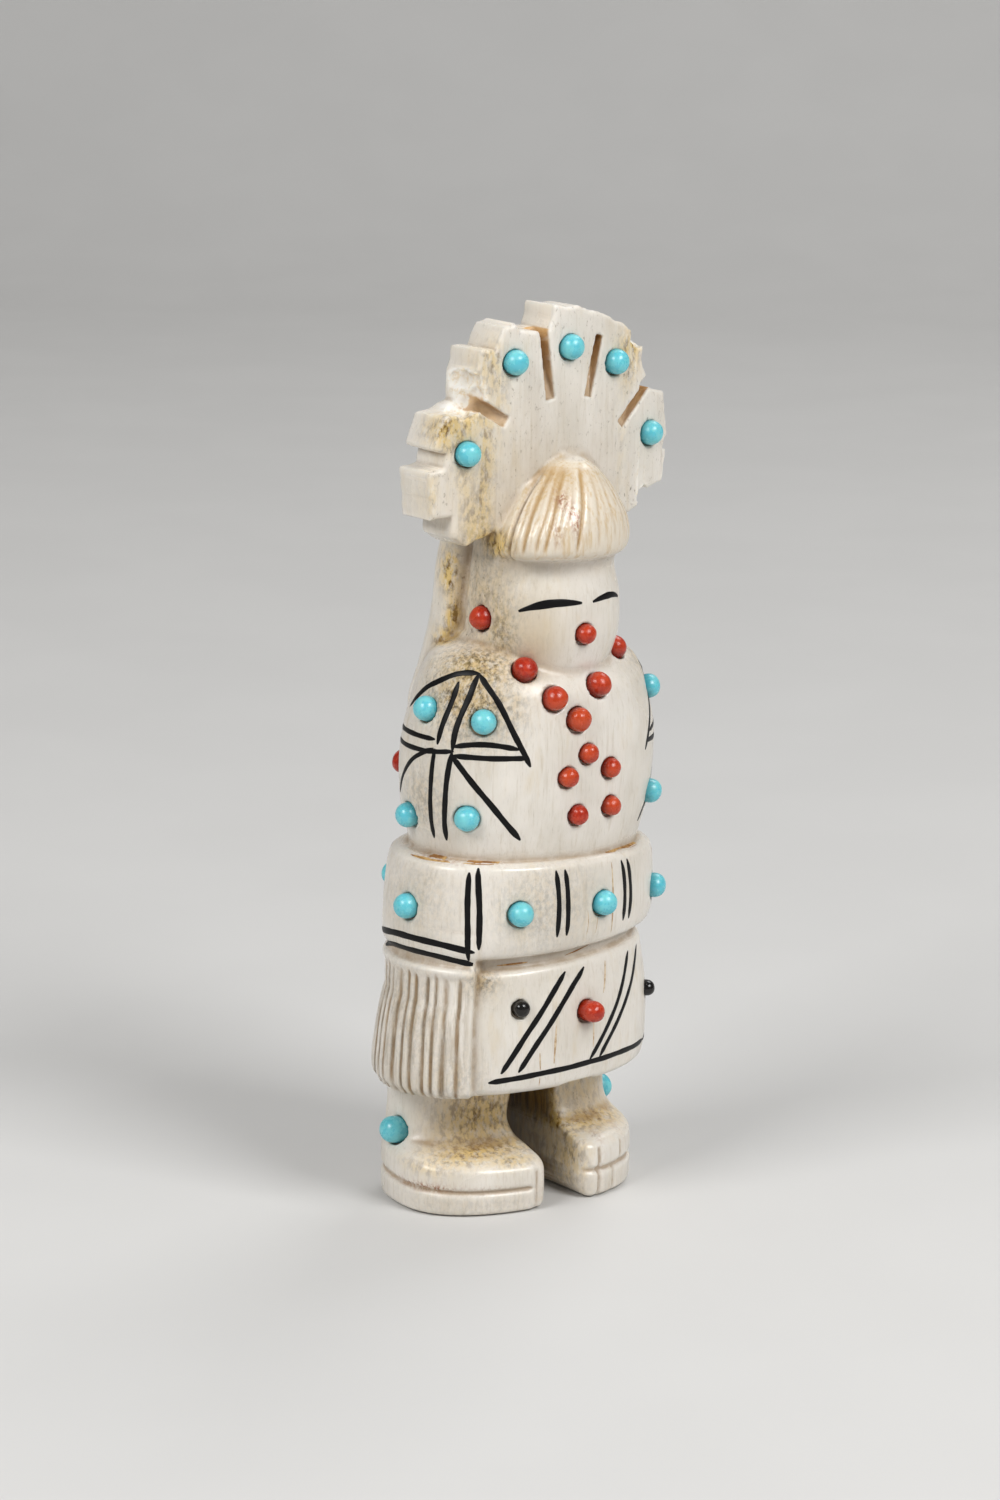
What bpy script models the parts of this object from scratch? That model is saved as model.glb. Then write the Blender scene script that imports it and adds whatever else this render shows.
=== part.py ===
"""A standing maiden fetish, carved from one piece of antler and set with bead stones.

The carving is one solid: a notched fan headdress, combed hair, head, shawled shoulders, belt, fringed
sash, skirt, legs and feet. Each bead stone is a round-headed peg in its own blind hole.
The figure faces -Y and stands on z = 0. Its right side is at -X. All constants are in millimetres and
degrees; mesh coordinates are in metres.
"""

import math
from collections import namedtuple

import bmesh
import bpy
from mathutils import Matrix, Vector

MM = 0.001

# ------------------------------------------------------------------ driving dimensions

# A level section of the body: its height, half its width, how far it reaches to the front and to the
# back, and its squareness (2 is an ellipse, larger is boxier).
Section = namedtuple("Section", "z half_width front back squareness")

SKIRT = (
    Section(15.1, 15.5, -11.8, 8.9, 2.2),
    Section(16.1, 16.3, -12.6, 9.7, 2.2),
    Section(19.5, 16.6, -12.9, 9.9, 2.2),
    Section(24.0, 16.5, -12.8, 9.8, 2.2),
    Section(28.6, 15.6, -12.2, 9.3, 2.2),
    Section(29.6, 15.3, -12.0, 9.1, 2.2),
    Section(30.2, 14.4, -11.2, 8.4, 2.2),
    Section(32.6, 14.3, -11.1, 8.3, 2.2),
)
BELT = (
    Section(31.4, 15.6, -12.1, 9.4, 2.2),
    Section(32.1, 16.5, -12.8, 10.2, 2.2),
    Section(34.3, 16.9, -13.1, 10.5, 2.2),
    Section(38.5, 16.8, -13.0, 10.4, 2.2),
    Section(41.2, 16.3, -12.7, 10.1, 2.2),
    Section(41.9, 15.5, -12.1, 9.4, 2.2),
)
TORSO = (
    Section(40.5, 13.9, -11.3, 8.2, 2.2),
    Section(43.0, 14.4, -11.7, 8.5, 2.2),
    Section(46.5, 15.5, -12.1, 9.0, 2.2),
    Section(51.5, 16.0, -12.3, 9.2, 2.2),
    Section(56.0, 15.6, -12.3, 9.0, 2.2),
    Section(60.3, 14.3, -11.7, 8.5, 2.2),
    Section(62.4, 13.6, -10.6, 7.6, 2.2),
    Section(64.4, 12.0, -8.6, 6.4, 2.2),
    Section(65.8, 8.6, -6.0, 5.4, 2.2),
)
HEAD = (
    Section(60.5, 5.6, -9.0, 1.5, 2.2),
    Section(62.6, 6.7, -10.0, 2.0, 2.2),
    Section(64.6, 7.5, -10.7, 2.3, 2.2),
    Section(67.5, 8.0, -11.2, 2.5, 2.3),
    Section(71.5, 7.9, -11.0, 2.5, 2.3),
    Section(74.5, 7.4, -10.3, 2.5, 2.3),
    Section(79.0, 7.3, -10.2, 2.0, 2.3),
)
TEMPLES = (
    Section(59.5, 8.8, -5.6, 2.6, 3.4),
    Section(63.0, 8.6, -6.0, 2.6, 3.4),
    Section(70.0, 8.3, -6.2, 2.6, 3.4),
    Section(78.0, 8.6, -6.0, 1.0, 3.4),
)
BANGS = (
    Section(75.7, 7.5, -11.4, -1.5, 2.1),
    Section(76.4, 8.0, -12.3, -1.5, 2.1),
    Section(78.2, 8.2, -12.7, -1.5, 2.1),
    Section(80.4, 7.5, -12.3, -1.5, 2.1),
    Section(83.0, 5.9, -11.1, -1.5, 2.0),
    Section(85.2, 3.9, -9.6, -1.5, 2.0),
    Section(86.8, 1.8, -8.0, -1.5, 2.0),
)
# The bangs' top is a little to the figure's left, and they hang to its right: this far for each
# millimetre below their top.
BANGS_TOP_X = 0.6
BANGS_SKEW = 0.15
BACK_HAIR = (
    Section(54.0, 10.1, 3.2, 9.4, 4.0),
    Section(58.0, 10.5, 2.9, 9.2, 4.0),
    Section(62.0, 10.2, 2.0, 7.8, 4.0),
    Section(68.0, 9.8, 1.3, 6.4, 4.0),
    Section(76.0, 9.6, 0.6, 5.4, 4.0),
    Section(80.0, 9.0, -1.5, 3.8, 4.0),
    Section(83.5, 7.6, -2.6, 0.8, 3.0),
)
# Both feet and legs as one form, which the gap between them then parts.
FEET = (
    Section(0.0, 14.6, -9.7, 9.2, 2.5),
    Section(0.5, 15.0, -10.1, 9.6, 2.5),
    Section(4.9, 15.0, -10.1, 9.6, 2.5),
    Section(5.8, 14.6, -9.3, 9.4, 2.5),
    Section(6.3, 14.2, -7.6, 9.2, 2.5),
    Section(7.2, 13.8, -5.0, 8.8, 2.6),
    Section(9.5, 13.5, -3.7, 8.4, 2.8),
    Section(16.0, 13.6, -3.6, 8.4, 2.8),
)
# The feet are turned a little about the vertical. Their upper sides rise towards the heels, and the left
# foot is the taller.
FEET_TURN = -8.0
UPPER_HEIGHT = 5.0
HEEL_RISE = 0.07
TOE_Y = -9.0
LEFT_FOOT_LIFT = 1.1
GAP_RIGHT = -1.6
GAP_LEFT = 3.5
GAP_TOP = 15.6

# The seam between the skirt and the belt is slanted: it rises this far for each millimetre to the
# figure's left, between the two heights where the slant fades in and out.
SEAM_SLANT = 0.06
SEAM_FADE = (22.0, 30.0, 32.5, 39.0)

BODY_SIDES = 28
HEAD_SIDES = 22
SLAB_SIDES = 16

# The figure leans to its left: a bend from one height to another, straight and upright below it,
# straight and tilted above it.
LEAN = 2.2
LEAN_START = 14.0
LEAN_END = 36.0

# The fan headdress, seen from the front. Both sides have stepped blocks, some of them broken.
# A step of the fan's rim: how far it reaches from the middle and at what height, at its foot and at its
# top. The steps of each side run from the lowest up, and where a block is broken off, its step slants.
FanStep = namedtuple("FanStep", "foot_reach foot top_reach top")
FAN_TOP = 103.7
RIGHT_STEPS = (
    FanStep(9.0, 78.5, 12.5, 77.0),
    FanStep(14.5, 78.0, 14.5, 80.5),
    FanStep(17.0, 80.0, 17.5, 85.5),
    FanStep(15.5, 86.0, 15.5, 87.5),
    FanStep(17.0, 88.0, 16.0, 91.5),
    FanStep(14.5, 92.0, 12.5, 93.0),
    FanStep(12.5, 95.0, 12.0, 99.0),
    FanStep(10.0, 99.0, 9.0, 101.5),
    FanStep(7.5, 102.0, 7.0, 101.0),
    FanStep(3.0, 101.0, 2.5, FAN_TOP),
)
LEFT_STEPS = (
    FanStep(9.0, 79.0, 11.0, 79.5),
    FanStep(12.5, 80.5, 13.0, 82.0),
    FanStep(16.5, 82.5, 17.0, 86.5),
    FanStep(16.5, 86.5, 16.5, 87.5),
    FanStep(17.0, 88.0, 16.0, 93.0),
    FanStep(11.5, 94.0, 12.5, 95.0),
    FanStep(11.5, 97.0, 12.0, 98.5),
    FanStep(8.5, 101.0, 7.5, 101.5),
    FanStep(5.0, 102.5, 1.0, 103.5),
)
FAN_FRONT = -5.8
FAN_THICKNESS = 5.6
FAN_BOW_RADIUS = 65.0
FAN_BOW_CUTS = 3

# A saw cut in the fan's face: its inner end, the way it leans outwards from upright, its length and
# width, and its depth at the outer end.
SawCut = namedtuple("SawCut", "inner lean length width depth")
SAW_CUTS = (
    SawCut((-8.5, 91.0), -60.0, 7.5, 1.4, 4.0),
    SawCut((-2.5, 93.5), -10.0, 8.0, 1.2, 3.0),
    SawCut((3.0, 93.5), 11.0, 6.5, 1.1, 2.0),
    SawCut((8.5, 90.0), 45.0, 5.5, 1.2, 2.6),
)

# The sash hangs from the belt over the right hip, between two angles round the skirt, and stands
# proud of it. Angles run from 0 at the front (-Y) to 90 at the left side (+X).
SASH_FRONT_ANGLE = -47.5
SASH_BACK_ANGLE = -132.0
SASH_BOTTOM_FRONT = 15.2
SASH_BOTTOM_BACK = 14.3
SASH_TOP = 33.2
# How far it stands out at its top, middle and bottom, along its front edge and along its back edge.
SASH_PROUD_FRONT = (2.1, 1.0, 1.3)
SASH_PROUD_BACK = (1.9, 0.25, 1.7)
SASH_MIDDLE = 0.4
SASH_SINK = 3.0
SASH_ARC_STEPS = 10
SASH_RISE_STEPS = 5
FRINGE_CUTS = 8
FRINGE_CUT_RADIUS = 0.42
FRINGE_CUT_SHARES = (0.18, 0.55, 0.85, 1.06)

HAIR_CUTS = 7
HAIR_CUT_RADIUS = 0.42
HAIR_CUT_SPREAD = 76.0
HAIR_CUT_TOP = 84.6
HAIR_CUT_BOTTOM = 74.6

SOLE_CUT_HEIGHT = 2.8
SOLE_CUT_RADIUS = 0.28
SOLE_CUT_STEPS = 5

# Bead stones: the head stands proud of the surface and the shank fills a blind hole.
Bead = namedtuple("Bead", "radius head sunk")
ROUND_BEAD = Bead(1.45, 1.6, 1.7)
SMALL_BEAD = Bead(1.2, 1.3, 1.6)
JET_BEAD = Bead(1.0, 1.15, 1.6)
LARGE_BEAD = Bead(1.6, 2.2, 1.8)
TALL_BEAD = Bead(1.3, 2.4, 1.7)
HOLE_CLEARANCE = 0.12
BEAD_SIDES = 8
DOME_STEPS = 2

# Each row of beads on the body: the stone, the body part it is set in, and the place of each bead as
# an angle round that part and a height.
BeadRow = namedtuple("BeadRow", "name stone sections bead spots")

# Beads on the fan's front face are placed by x and z.
FAN_BEADS = ((-13.0, 87.5), (-7.5, 97.5), (0.0, 99.0), (7.0, 97.0), (13.5, 88.5))

# The whole figure is moved by this much, so that the middle of its bounding box is over the origin.
CENTRING = (-0.68, 1.68)


# ------------------------------------------------------------------ general helpers

def clear_scene():
    """Removes every object that is in the scene."""
    for thing in list(bpy.data.objects):
        bpy.data.objects.remove(thing)


def material(name, colour, roughness):
    """A Principled BSDF material of one colour."""
    made = bpy.data.materials.new(name)
    made.use_nodes = True
    shader = made.node_tree.nodes["Principled BSDF"]
    shader.inputs["Base Color"].default_value = (*colour, 1.0)
    shader.inputs["Roughness"].default_value = roughness
    shader.inputs["Metallic"].default_value = 0.0
    made.diffuse_color = (*colour, 1.0)
    return made


def add_object(name, mesh, collection, is_guide=False):
    """Puts a mesh in a collection as an object. A guide only shapes other solids."""
    made = bpy.data.objects.new(name, mesh)
    collection.objects.link(made)
    if is_guide:
        made.hide_render = True
        made.display_type = "WIRE"
    return made


def lean_at(z):
    """How far the lean moves the figure's axis at height z, and how much it tilts it there."""
    full = math.radians(LEAN)
    span = LEAN_END - LEAN_START
    share = min(max((z - LEAN_START) / span, 0.0), 1.0)
    beyond = max(z - LEAN_END, 0.0)
    shift = full * (span * (share**3 - share**4 / 2) + beyond)
    return shift, full * (3 * share**2 - 2 * share**3)


def leaned(point):
    """Where the lean takes a point of the upright figure."""
    x, y, z = point
    shift, tilt = lean_at(z)
    return Vector((shift + x * math.cos(tilt), y, z - x * math.sin(tilt)))


def leaned_direction(normal, z):
    """Where the lean turns a direction at height z."""
    return Matrix.Rotation(lean_at(z)[1], 3, "Y") @ normal


def mesh_from(name, build):
    """A mesh filled by build(bm), in upright millimetres, then leaned and scaled to metres."""
    bm = bmesh.new()
    build(bm)
    for vertex in bm.verts:
        vertex.co = leaned(vertex.co)
    bmesh.ops.scale(bm, vec=(MM, MM, MM), verts=bm.verts)
    bmesh.ops.recalc_face_normals(bm, faces=bm.faces)
    mesh = bpy.data.meshes.new(name)
    bm.to_mesh(mesh)
    bm.free()
    return mesh


def combine(target, tool, operation):
    """Adds a tool solid to the target, or cuts it from the target."""
    boolean = target.modifiers.new(f"{operation.lower()}_{tool.name}", "BOOLEAN")
    boolean.operation = operation
    boolean.solver = "EXACT"
    boolean.object = tool
    return boolean


# ------------------------------------------------------------------ lofted body parts

def section_at(sections, z):
    """The section at height z, on smooth curves through the given sections."""
    z = min(max(z, sections[0].z), sections[-1].z)
    upper = next(i for i in range(1, len(sections)) if z <= sections[i].z)
    low, high = sections[upper - 1], sections[upper]
    below = sections[max(upper - 2, 0)]
    above = sections[min(upper + 1, len(sections) - 1)]
    span = high.z - low.z
    t = (z - low.z) / span

    def blend(field):
        start_slope = (field(high) - field(below)) / (high.z - below.z) * span
        end_slope = (field(above) - field(low)) / (above.z - low.z) * span
        return (
            (2 * t**3 - 3 * t**2 + 1) * field(low)
            + (t**3 - 2 * t**2 + t) * start_slope
            + (3 * t**2 - 2 * t**3) * field(high)
            + (t**3 - t**2) * end_slope
        )

    return Section(
        z,
        blend(lambda s: s.half_width),
        blend(lambda s: s.front),
        blend(lambda s: s.back),
        blend(lambda s: s.squareness),
    )


def rim_point(section, angle, proud=0.0):
    """The point on a section's rim at an angle from the front, moved outwards by proud."""
    turn = math.radians(angle)
    power = 2.0 / section.squareness
    across = math.copysign(abs(math.sin(turn)) ** power, math.sin(turn))
    along = math.copysign(abs(math.cos(turn)) ** power, math.cos(turn))
    middle = (section.front + section.back) / 2
    depth = (section.back - section.front) / 2
    return Vector((
        (section.half_width + proud) * across,
        middle - (depth + proud) * along,
        section.z,
    ))


def surface_point(sections, angle, z, place):
    """The point and the outward normal of a lofted part at an angle and a height."""
    step = 0.05
    point = place(rim_point(section_at(sections, z), angle))
    around = place(rim_point(section_at(sections, z), angle + step)) - point
    upward = place(rim_point(section_at(sections, z + step), angle)) - point
    return point, around.cross(upward).normalized()


def skin_rings(bm, rings):
    """Joins closed rings of points into a solid with flat ends."""
    made = [[bm.verts.new(point) for point in ring] for ring in rings]
    for lower, upper in zip(made, made[1:]):
        for i in range(len(lower)):
            j = (i + 1) % len(lower)
            bm.faces.new((lower[i], lower[j], upper[j], upper[i]))
    bm.faces.new(reversed(made[0]))
    bm.faces.new(made[-1])
    bmesh.ops.triangulate(bm, faces=bm.faces)


def loft(name, sections, sides, collection, place=Vector):
    """A solid through the sections. A place function can move the points of its straight form."""

    def build(bm):
        rings = []
        for section in sections:
            rings.append([place(rim_point(section, 360.0 * i / sides)) for i in range(sides)])
        skin_rings(bm, rings)

    return add_object(name, mesh_from(name, build), collection, is_guide=True)


def foot_point(point):
    """Where the turn and the rise of the feet take a point of their straight form."""
    turned = Matrix.Rotation(math.radians(FEET_TURN), 3, "Z") @ point
    leftward = min(max((turned.x - GAP_RIGHT) / (GAP_LEFT - GAP_RIGHT), 0.0), 1.0)
    lift = LEFT_FOOT_LIFT * leftward + HEEL_RISE * (turned.y - TOE_Y)
    turned.z += lift * min(turned.z / UPPER_HEIGHT, 1.0)
    return turned


def fade(low, high, value):
    """0 below low, 1 above high, and a smooth rise between them."""
    t = min(max((value - low) / (high - low), 0.0), 1.0)
    return t * t * (3 - 2 * t)


def seam_point(point):
    """Where the slant of the seam takes a point of the skirt or the belt."""
    rise_low, rise_high, fall_low, fall_high = SEAM_FADE
    share = fade(rise_low, rise_high, point.z) * (1 - fade(fall_low, fall_high, point.z))
    return point + Vector((0.0, 0.0, SEAM_SLANT * point.x * share))


# ------------------------------------------------------------------ cutters

def groove_cutter(name, points, radius, collection):
    """A V-shaped groove along a path: a four-sided tube made from a curve, as a cutting solid."""
    curve = bpy.data.curves.new(name, "CURVE")
    curve.dimensions = "3D"
    curve.bevel_depth = radius * MM
    curve.bevel_resolution = 0
    curve.use_fill_caps = True
    spline = curve.splines.new("POLY")
    spline.points.add(len(points) - 1)
    for knot, point in zip(spline.points, points):
        knot.co = (*(leaned(point) * MM), 1.0)
    return curve_to_solid(name, curve, collection)


def curve_to_solid(name, curve, collection):
    """Turns a curve into a mesh object with welded caps."""
    source = bpy.data.objects.new(f"{name}_curve", curve)
    bpy.context.scene.collection.objects.link(source)
    ready = source.evaluated_get(bpy.context.evaluated_depsgraph_get())
    mesh = bpy.data.meshes.new_from_object(ready)
    bpy.data.objects.remove(source)
    bm = bmesh.new()
    bm.from_mesh(mesh)
    bmesh.ops.remove_doubles(bm, verts=bm.verts, dist=0.00001)
    bmesh.ops.triangulate(bm, faces=bm.faces)
    bmesh.ops.recalc_face_normals(bm, faces=bm.faces)
    bm.to_mesh(mesh)
    bm.free()
    mesh.name = name
    return add_object(name, mesh, collection, is_guide=True)


def join_cutters(name, cutters, collection):
    """Puts cutters that don't touch each other into one object."""
    bm = bmesh.new()
    for cutter in cutters:
        bm.from_mesh(cutter.data)
        bpy.data.objects.remove(cutter)
    mesh = bpy.data.meshes.new(name)
    bm.to_mesh(mesh)
    bm.free()
    return add_object(name, mesh, collection, is_guide=True)


# ------------------------------------------------------------------ the fan headdress

def fan_face_y(x):
    """Where the fan's bowed front face is at x."""
    return FAN_FRONT + x * x / (2 * FAN_BOW_RADIUS)


def fan_outline():
    """The fan's rim as (x, z) points, up the steps of its right side and down those of its left."""
    rim = [(-reach, z) for step in RIGHT_STEPS for reach, z in (step[:2], step[2:])]
    return rim + [(reach, z) for step in reversed(LEFT_STEPS) for reach, z in (step[2:], step[:2])]


def make_fan(collection):
    """The notched fan, cut from a flat slab and then bowed, with its middle to the front."""
    curve = bpy.data.curves.new("fan", "CURVE")
    curve.dimensions = "2D"
    curve.fill_mode = "BOTH"
    curve.extrude = FAN_THICKNESS / 2 * MM
    spline = curve.splines.new("POLY")
    outline = fan_outline()
    spline.points.add(len(outline) - 1)
    for knot, (x, z) in zip(spline.points, outline):
        knot.co = (x * MM, z * MM, 0.0, 1.0)
    spline.use_cyclic_u = True
    fan = curve_to_solid("fan", curve, collection)

    upright = Matrix.Rotation(math.radians(90), 4, "X")
    middle = Matrix.Translation((0.0, (FAN_FRONT + FAN_THICKNESS / 2) * MM, 0.0))
    bm = bmesh.new()
    bm.from_mesh(fan.data)
    bmesh.ops.transform(bm, matrix=middle @ upright, verts=bm.verts)
    reach = max(abs(x) for x, _ in outline)
    for i in range(FAN_BOW_CUTS):
        x = reach * (2 * (i + 1) / (FAN_BOW_CUTS + 1) - 1)
        everything = bm.verts[:] + bm.edges[:] + bm.faces[:]
        bmesh.ops.bisect_plane(bm, geom=everything, plane_co=(x * MM, 0, 0), plane_no=(1, 0, 0))
    for vertex in bm.verts:
        vertex.co.y += (fan_face_y(vertex.co.x / MM) - FAN_FRONT) * MM
        vertex.co = leaned(vertex.co / MM) * MM
    bmesh.ops.triangulate(bm, faces=bm.faces)
    bmesh.ops.recalc_face_normals(bm, faces=bm.faces)
    bm.to_mesh(fan.data)
    bm.free()
    return fan


def outer_end(cut):
    """The (x, z) point of a saw cut's outer end."""
    lean = math.radians(cut.lean)
    return cut.inner[0] + cut.length * math.sin(lean), cut.inner[1] + cut.length * math.cos(lean)


def make_saw_cut(index, cut, collection):
    """A slot with a sloping floor: deep at its outer end and shallow at its inner end."""
    outer, inner = Vector(outer_end(cut)), Vector(cut.inner)
    side = (inner - outer).orthogonal().normalized() * cut.width / 2
    clear = 4.0
    shallow = 0.5

    def build(bm):
        rings = []
        for end, depth in ((outer, cut.depth), (inner, shallow)):
            face = fan_face_y(end.x)
            left, right = end + side, end - side
            rings.append((
                (left.x, face - clear, left.y),
                (left.x, face + depth, left.y),
                (right.x, face + depth, right.y),
                (right.x, face - clear, right.y),
            ))
        skin_rings(bm, rings)

    name = f"saw_cut_{index}"
    return add_object(name, mesh_from(name, build), collection, is_guide=True)


# ------------------------------------------------------------------ sash, hair and feet

def sash_point(across, down, sunk=0.0):
    """A point of the sash's outer face: across it from the front edge, and down it from the top.

    Both are shares from 0 to 1. The face is flush with the belt at its top, and stands a little further
    out at its fringed end than in its middle.
    """
    angle = SASH_FRONT_ANGLE + (SASH_BACK_ANGLE - SASH_FRONT_ANGLE) * across
    bottom = SASH_BOTTOM_FRONT + (SASH_BOTTOM_BACK - SASH_BOTTOM_FRONT) * across
    z = SASH_TOP + (bottom - SASH_TOP) * down
    near_top = max(1 - down / SASH_MIDDLE, 0.0)
    near_bottom = max((down - SASH_MIDDLE) / (1 - SASH_MIDDLE), 0.0)
    top, middle, bottom_proud = (
        front + (back - front) * across for front, back in zip(SASH_PROUD_FRONT, SASH_PROUD_BACK)
    )
    proud = middle + (top - middle) * near_top + (bottom_proud - middle) * near_bottom
    return rim_point(section_at(SKIRT, z)._replace(z=z), angle, proud - sunk)


def make_sash(collection):
    """The fringed panel over the right hip: a curved plate that follows the skirt."""
    shares = [i / SASH_ARC_STEPS for i in range(SASH_ARC_STEPS + 1)]

    def build(bm):
        rings = []
        for i in reversed(range(SASH_RISE_STEPS + 1)):
            down = i / SASH_RISE_STEPS
            outer = [sash_point(share, down) for share in shares]
            inner = [sash_point(share, down, SASH_SINK) for share in reversed(shares)]
            rings.append(outer + inner)
        skin_rings(bm, rings)

    return add_object("sash", mesh_from("sash", build), collection, is_guide=True)


def make_fringe_cuts(collection):
    """The grooves between the strands of the fringe."""
    cutters = []
    for i in range(FRINGE_CUTS):
        across = (i + 0.5) / FRINGE_CUTS
        points = [sash_point(across, down, -0.1) for down in FRINGE_CUT_SHARES]
        cutters.append(groove_cutter(f"fringe_cut_{i}", points, FRINGE_CUT_RADIUS, collection))
    return join_cutters("fringe_cuts", cutters, collection)


def bangs_point(point):
    """Where the skew of the bangs takes a point of their straight form."""
    return point + Vector((BANGS_TOP_X - BANGS_SKEW * (BANGS[-1].z - point.z), 0.0, 0.0))


def make_hair_cuts(collection):
    """The combed grooves of the bangs, fanning out from the top of the head."""
    cutters = []
    for i in range(HAIR_CUTS):
        angle = HAIR_CUT_SPREAD * (2 * i / (HAIR_CUTS - 1) - 1)
        points = []
        for z in (HAIR_CUT_TOP, 82.0, 79.5, 77.5, 75.6, HAIR_CUT_BOTTOM):
            section = section_at(BANGS, z)._replace(z=z)
            points.append(bangs_point(rim_point(section, angle, 0.12)))
        cutters.append(groove_cutter(f"hair_cut_{i}", points, HAIR_CUT_RADIUS, collection))
    return join_cutters("hair_cuts", cutters, collection)


def make_sole_cut(name, first_angle, last_angle, collection):
    """The groove between the upper and the sole of one foot, round its outer side and toe."""
    section = section_at(FEET, SOLE_CUT_HEIGHT)
    points = []
    for i in range(SOLE_CUT_STEPS + 1):
        angle = first_angle + (last_angle - first_angle) * i / SOLE_CUT_STEPS
        points.append(foot_point(rim_point(section, angle)))
    return groove_cutter(name, points, SOLE_CUT_RADIUS, collection)


def make_leg_gap(collection):
    """The gap between the legs and feet, open at the front, at the back and below."""
    below = 1.0
    reach = 40.0
    width = GAP_LEFT - GAP_RIGHT
    height = GAP_TOP + below
    middle = Vector(((GAP_LEFT + GAP_RIGHT) / 2, 0.0, GAP_TOP - height / 2))

    def build(bm):
        size = Matrix.Diagonal((width, reach, height, 1.0))
        bmesh.ops.create_cube(bm, size=1.0, matrix=Matrix.Translation(middle) @ size)
        bmesh.ops.triangulate(bm, faces=bm.faces)

    return add_object("leg_gap", mesh_from("leg_gap", build), collection, is_guide=True)


# ------------------------------------------------------------------ bead stones

def bead_mesh(name, bead):
    """The open profile of a bead from its crown down its outer side to the middle of its foot."""
    points = [(0.0, bead.head)]
    shoulder = max(bead.head - bead.radius, 0.0)
    for i in range(1, DOME_STEPS + 1):
        turn = math.radians(90.0 * i / DOME_STEPS)
        points.append((
            bead.radius * math.sin(turn),
            shoulder + (bead.head - shoulder) * math.cos(turn),
        ))
    points.append((bead.radius, -bead.sunk))
    points.append((0.0, -bead.sunk))
    mesh = bpy.data.meshes.new(name)
    edges = [(i, i + 1) for i in range(len(points) - 1)]
    mesh.from_pydata([(x * MM, 0.0, z * MM) for x, z in points], edges, [])
    return mesh


def place_bead(name, bead, stone, point, normal, figure):
    """One bead, turned from its profile, with its axis along the surface's normal."""
    made = add_object(name, bead_mesh(name, bead), figure)
    turned = made.modifiers.new("turned", "SCREW")
    turned.axis = "Z"
    turned.steps = BEAD_SIDES
    turned.render_steps = BEAD_SIDES
    turned.use_merge_vertices = True
    turned.merge_threshold = 0.00001
    turned.use_smooth_shade = True
    made.rotation_mode = "QUATERNION"
    made.rotation_quaternion = normal.to_track_quat("Z", "Y")
    made.location = point * MM
    made.data.materials.append(stone)
    return made


def hole_cutter(bm, bead, point, normal):
    """Adds the blind hole of one bead to the drill mesh."""
    above = bead.head + 1.0
    below = bead.sunk + HOLE_CLEARANCE
    middle = point + normal * (above - below) / 2
    turn = normal.to_track_quat("Z", "Y").to_matrix().to_4x4()
    radius = bead.radius + HOLE_CLEARANCE
    bmesh.ops.create_cone(
        bm, cap_ends=True, segments=BEAD_SIDES, radius1=radius, radius2=radius,
        depth=above + below, matrix=Matrix.Translation(middle) @ turn,
    )


def body_bead_rows(turquoise, coral, jet):
    """Every row of beads that is set in a lofted part of the body."""
    return (
        BeadRow("ear", coral, TEMPLES, ROUND_BEAD, ((-86.0, 68.5), (86.0, 68.5))),
        BeadRow("mouth", coral, HEAD, SMALL_BEAD, ((-1.5, 67.5),)),
        BeadRow("necklace", coral, TORSO, ROUND_BEAD, (
            (-29.5, 63.5), (-16.0, 60.5), (-4.5, 58.0), (6.5, 61.5), (37.0, 64.5),
        )),
        BeadRow("pendant", coral, TORSO, SMALL_BEAD, (
            (0.0, 54.0), (-8.0, 51.5), (11.0, 52.0), (-2.5, 47.0), (13.0, 47.5),
        )),
        BeadRow("right_shoulder", turquoise, TORSO, ROUND_BEAD, (
            (-90.0, 58.5), (-52.0, 58.0), (-99.0, 46.0), (-57.0, 47.0),
        )),
        BeadRow("left_shoulder", turquoise, TORSO, ROUND_BEAD, (
            (62.0, 59.5), (92.0, 58.5), (55.0, 47.5), (99.0, 46.0),
        )),
        BeadRow("back", coral, TORSO, ROUND_BEAD, ((-137.0, 50.5),)),
        BeadRow("belt", turquoise, BELT, ROUND_BEAD, (
            (-87.0, 36.5), (-27.5, 36.5), (8.0, 36.5), (53.0, 36.0),
            (98.0, 36.5), (-143.0, 37.0), (152.0, 36.5),
        )),
        BeadRow("skirt_jet", jet, SKIRT, JET_BEAD, ((-25.5, 25.5), (56.0, 23.5), (-136.0, 22.0))),
        BeadRow("skirt_coral", coral, SKIRT, TALL_BEAD, ((3.5, 24.0), (98.0, 24.0), (165.0, 24.0))),
        BeadRow("ankle", turquoise, FEET, LARGE_BEAD, ((-87.0, 7.5), (94.0, 7.0))),
    )


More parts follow.
